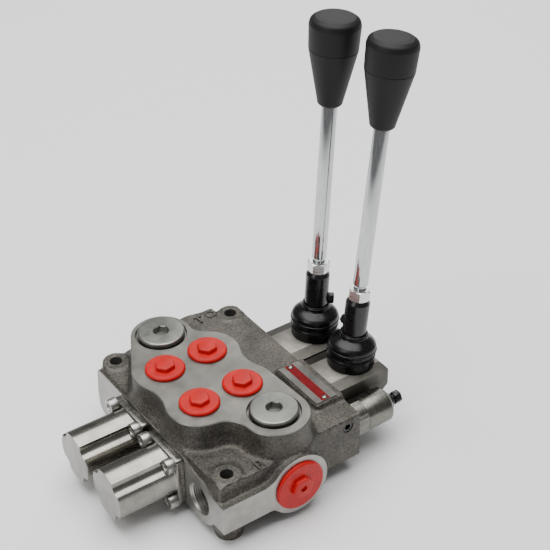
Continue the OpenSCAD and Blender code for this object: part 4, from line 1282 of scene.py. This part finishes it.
# ---------------------------------------------------------------- stage

def lamp(name, energy, size, place, target):
    """A white area light aimed at a point."""
    data = bpy.data.lights.new(name, "AREA")
    data.energy = energy
    data.size = size
    data.color = linear("#ffffff")[:3]
    obj = bpy.data.objects.new(name, data)
    obj.location = place
    obj.rotation_euler = (Vector(target) - Vector(place)).to_track_quat("-Z", "Y").to_euler()
    bpy.context.scene.collection.objects.link(obj)


class VALVE_OT_stage(bpy.types.Operator):
    """Sets the floor, the soft lights and the camera"""
    bl_idname = "valve.stage"
    bl_label = "Stage"

    def execute(self, context):
        half = context.scene.valve_sizes.floor_half / MM
        floor = new_object("floor", [(-half, -half, 0), (half, -half, 0), (half, half, 0), (-half, half, 0)],
                           [[0, 1, 2, 3]])
        paper = grained("paper_sweep_white", 0.9, 0.0, (3, 2), [(0.0, "#f6f6f6"), (1.0, "#fbfbfb")])
        floor.data.materials.append(paper)
        world = bpy.data.worlds.new("studio")
        world.use_nodes = True
        back = world.node_tree.nodes["Background"]
        back.inputs["Color"].default_value = linear("#ffffff")
        back.inputs["Strength"].default_value = 0.23
        bpy.context.scene.world = world
        aim = (0.045, 0.0, 0.05)
        lamp("overhead", 74, 2.2, (0.1, 0.2, 2.0), aim)
        lamp("key", 3, 0.5, (-0.9, -0.1, 0.9), aim)
        lamp("back_strip", 2.5, 0.5, (0.9, 0.9, 0.8), aim)

        az, el, roll = (math.radians(turn) for turn in CAMERA_TURN)
        right = Vector((math.cos(az), math.sin(az), 0))
        behind = Vector((math.sin(az) * math.cos(el), -math.cos(az) * math.cos(el), math.sin(el)))
        up = behind.cross(right)
        r0 = right * math.cos(roll) + up * math.sin(roll)
        r1 = up * math.cos(roll) - right * math.sin(roll)
        data = bpy.data.cameras.new("camera")
        data.lens = 89.58
        data.sensor_width = 36
        data.shift_x = -0.0094
        data.shift_y = -0.0198
        data.clip_start = 0.01
        camera = bpy.data.objects.new("camera", data)
        turn = Matrix((r0, r1, behind)).transposed().to_4x4()
        camera.matrix_world = Matrix.Translation(CAMERA) @ turn
        bpy.context.scene.collection.objects.link(camera)
        bpy.context.scene.camera = camera
        return {"FINISHED"}


OPERATORS = (VALVE_OT_casting, VALVE_OT_plugs, VALVE_OT_steel_plugs, VALVE_OT_nameplate, VALVE_OT_spring_caps,
             VALVE_OT_screws, VALVE_OT_lever_boxes, VALVE_OT_boots, VALVE_OT_levers, VALVE_OT_relief,
             VALVE_OT_inside, VALVE_OT_stage)


class VALVE_PT_panel(bpy.types.Panel):
    """Lists the valve's builders and its settings"""
    bl_idname = "VALVE_PT_panel"
    bl_label = "Control valve"
    bl_space_type = "VIEW_3D"
    bl_region_type = "UI"
    bl_category = "Valve"

    def draw(self, context):
        for group in (context.scene.valve_finish, context.scene.valve_sizes):
            for name in group.bl_rna.properties.keys():
                if name not in ("rna_type", "name"):
                    self.layout.prop(group, name)
        for op in OPERATORS:
            self.layout.operator(op.bl_idname)


CLASSES = (ValveFinish, ValveSizes) + OPERATORS + (VALVE_PT_panel,)


def register():
    for cls in CLASSES:
        bpy.utils.register_class(cls)
    bpy.types.Scene.valve_finish = bpy.props.PointerProperty(type=ValveFinish)
    bpy.types.Scene.valve_sizes = bpy.props.PointerProperty(type=ValveSizes)


def unregister():
    del bpy.types.Scene.valve_finish
    del bpy.types.Scene.valve_sizes
    for cls in reversed(CLASSES):
        bpy.utils.unregister_class(cls)


def main():
    register()
    for op in OPERATORS:
        group, name = op.bl_idname.split(".")
        getattr(getattr(bpy.ops, group), name)()


if __name__ == "__main__":
    main()
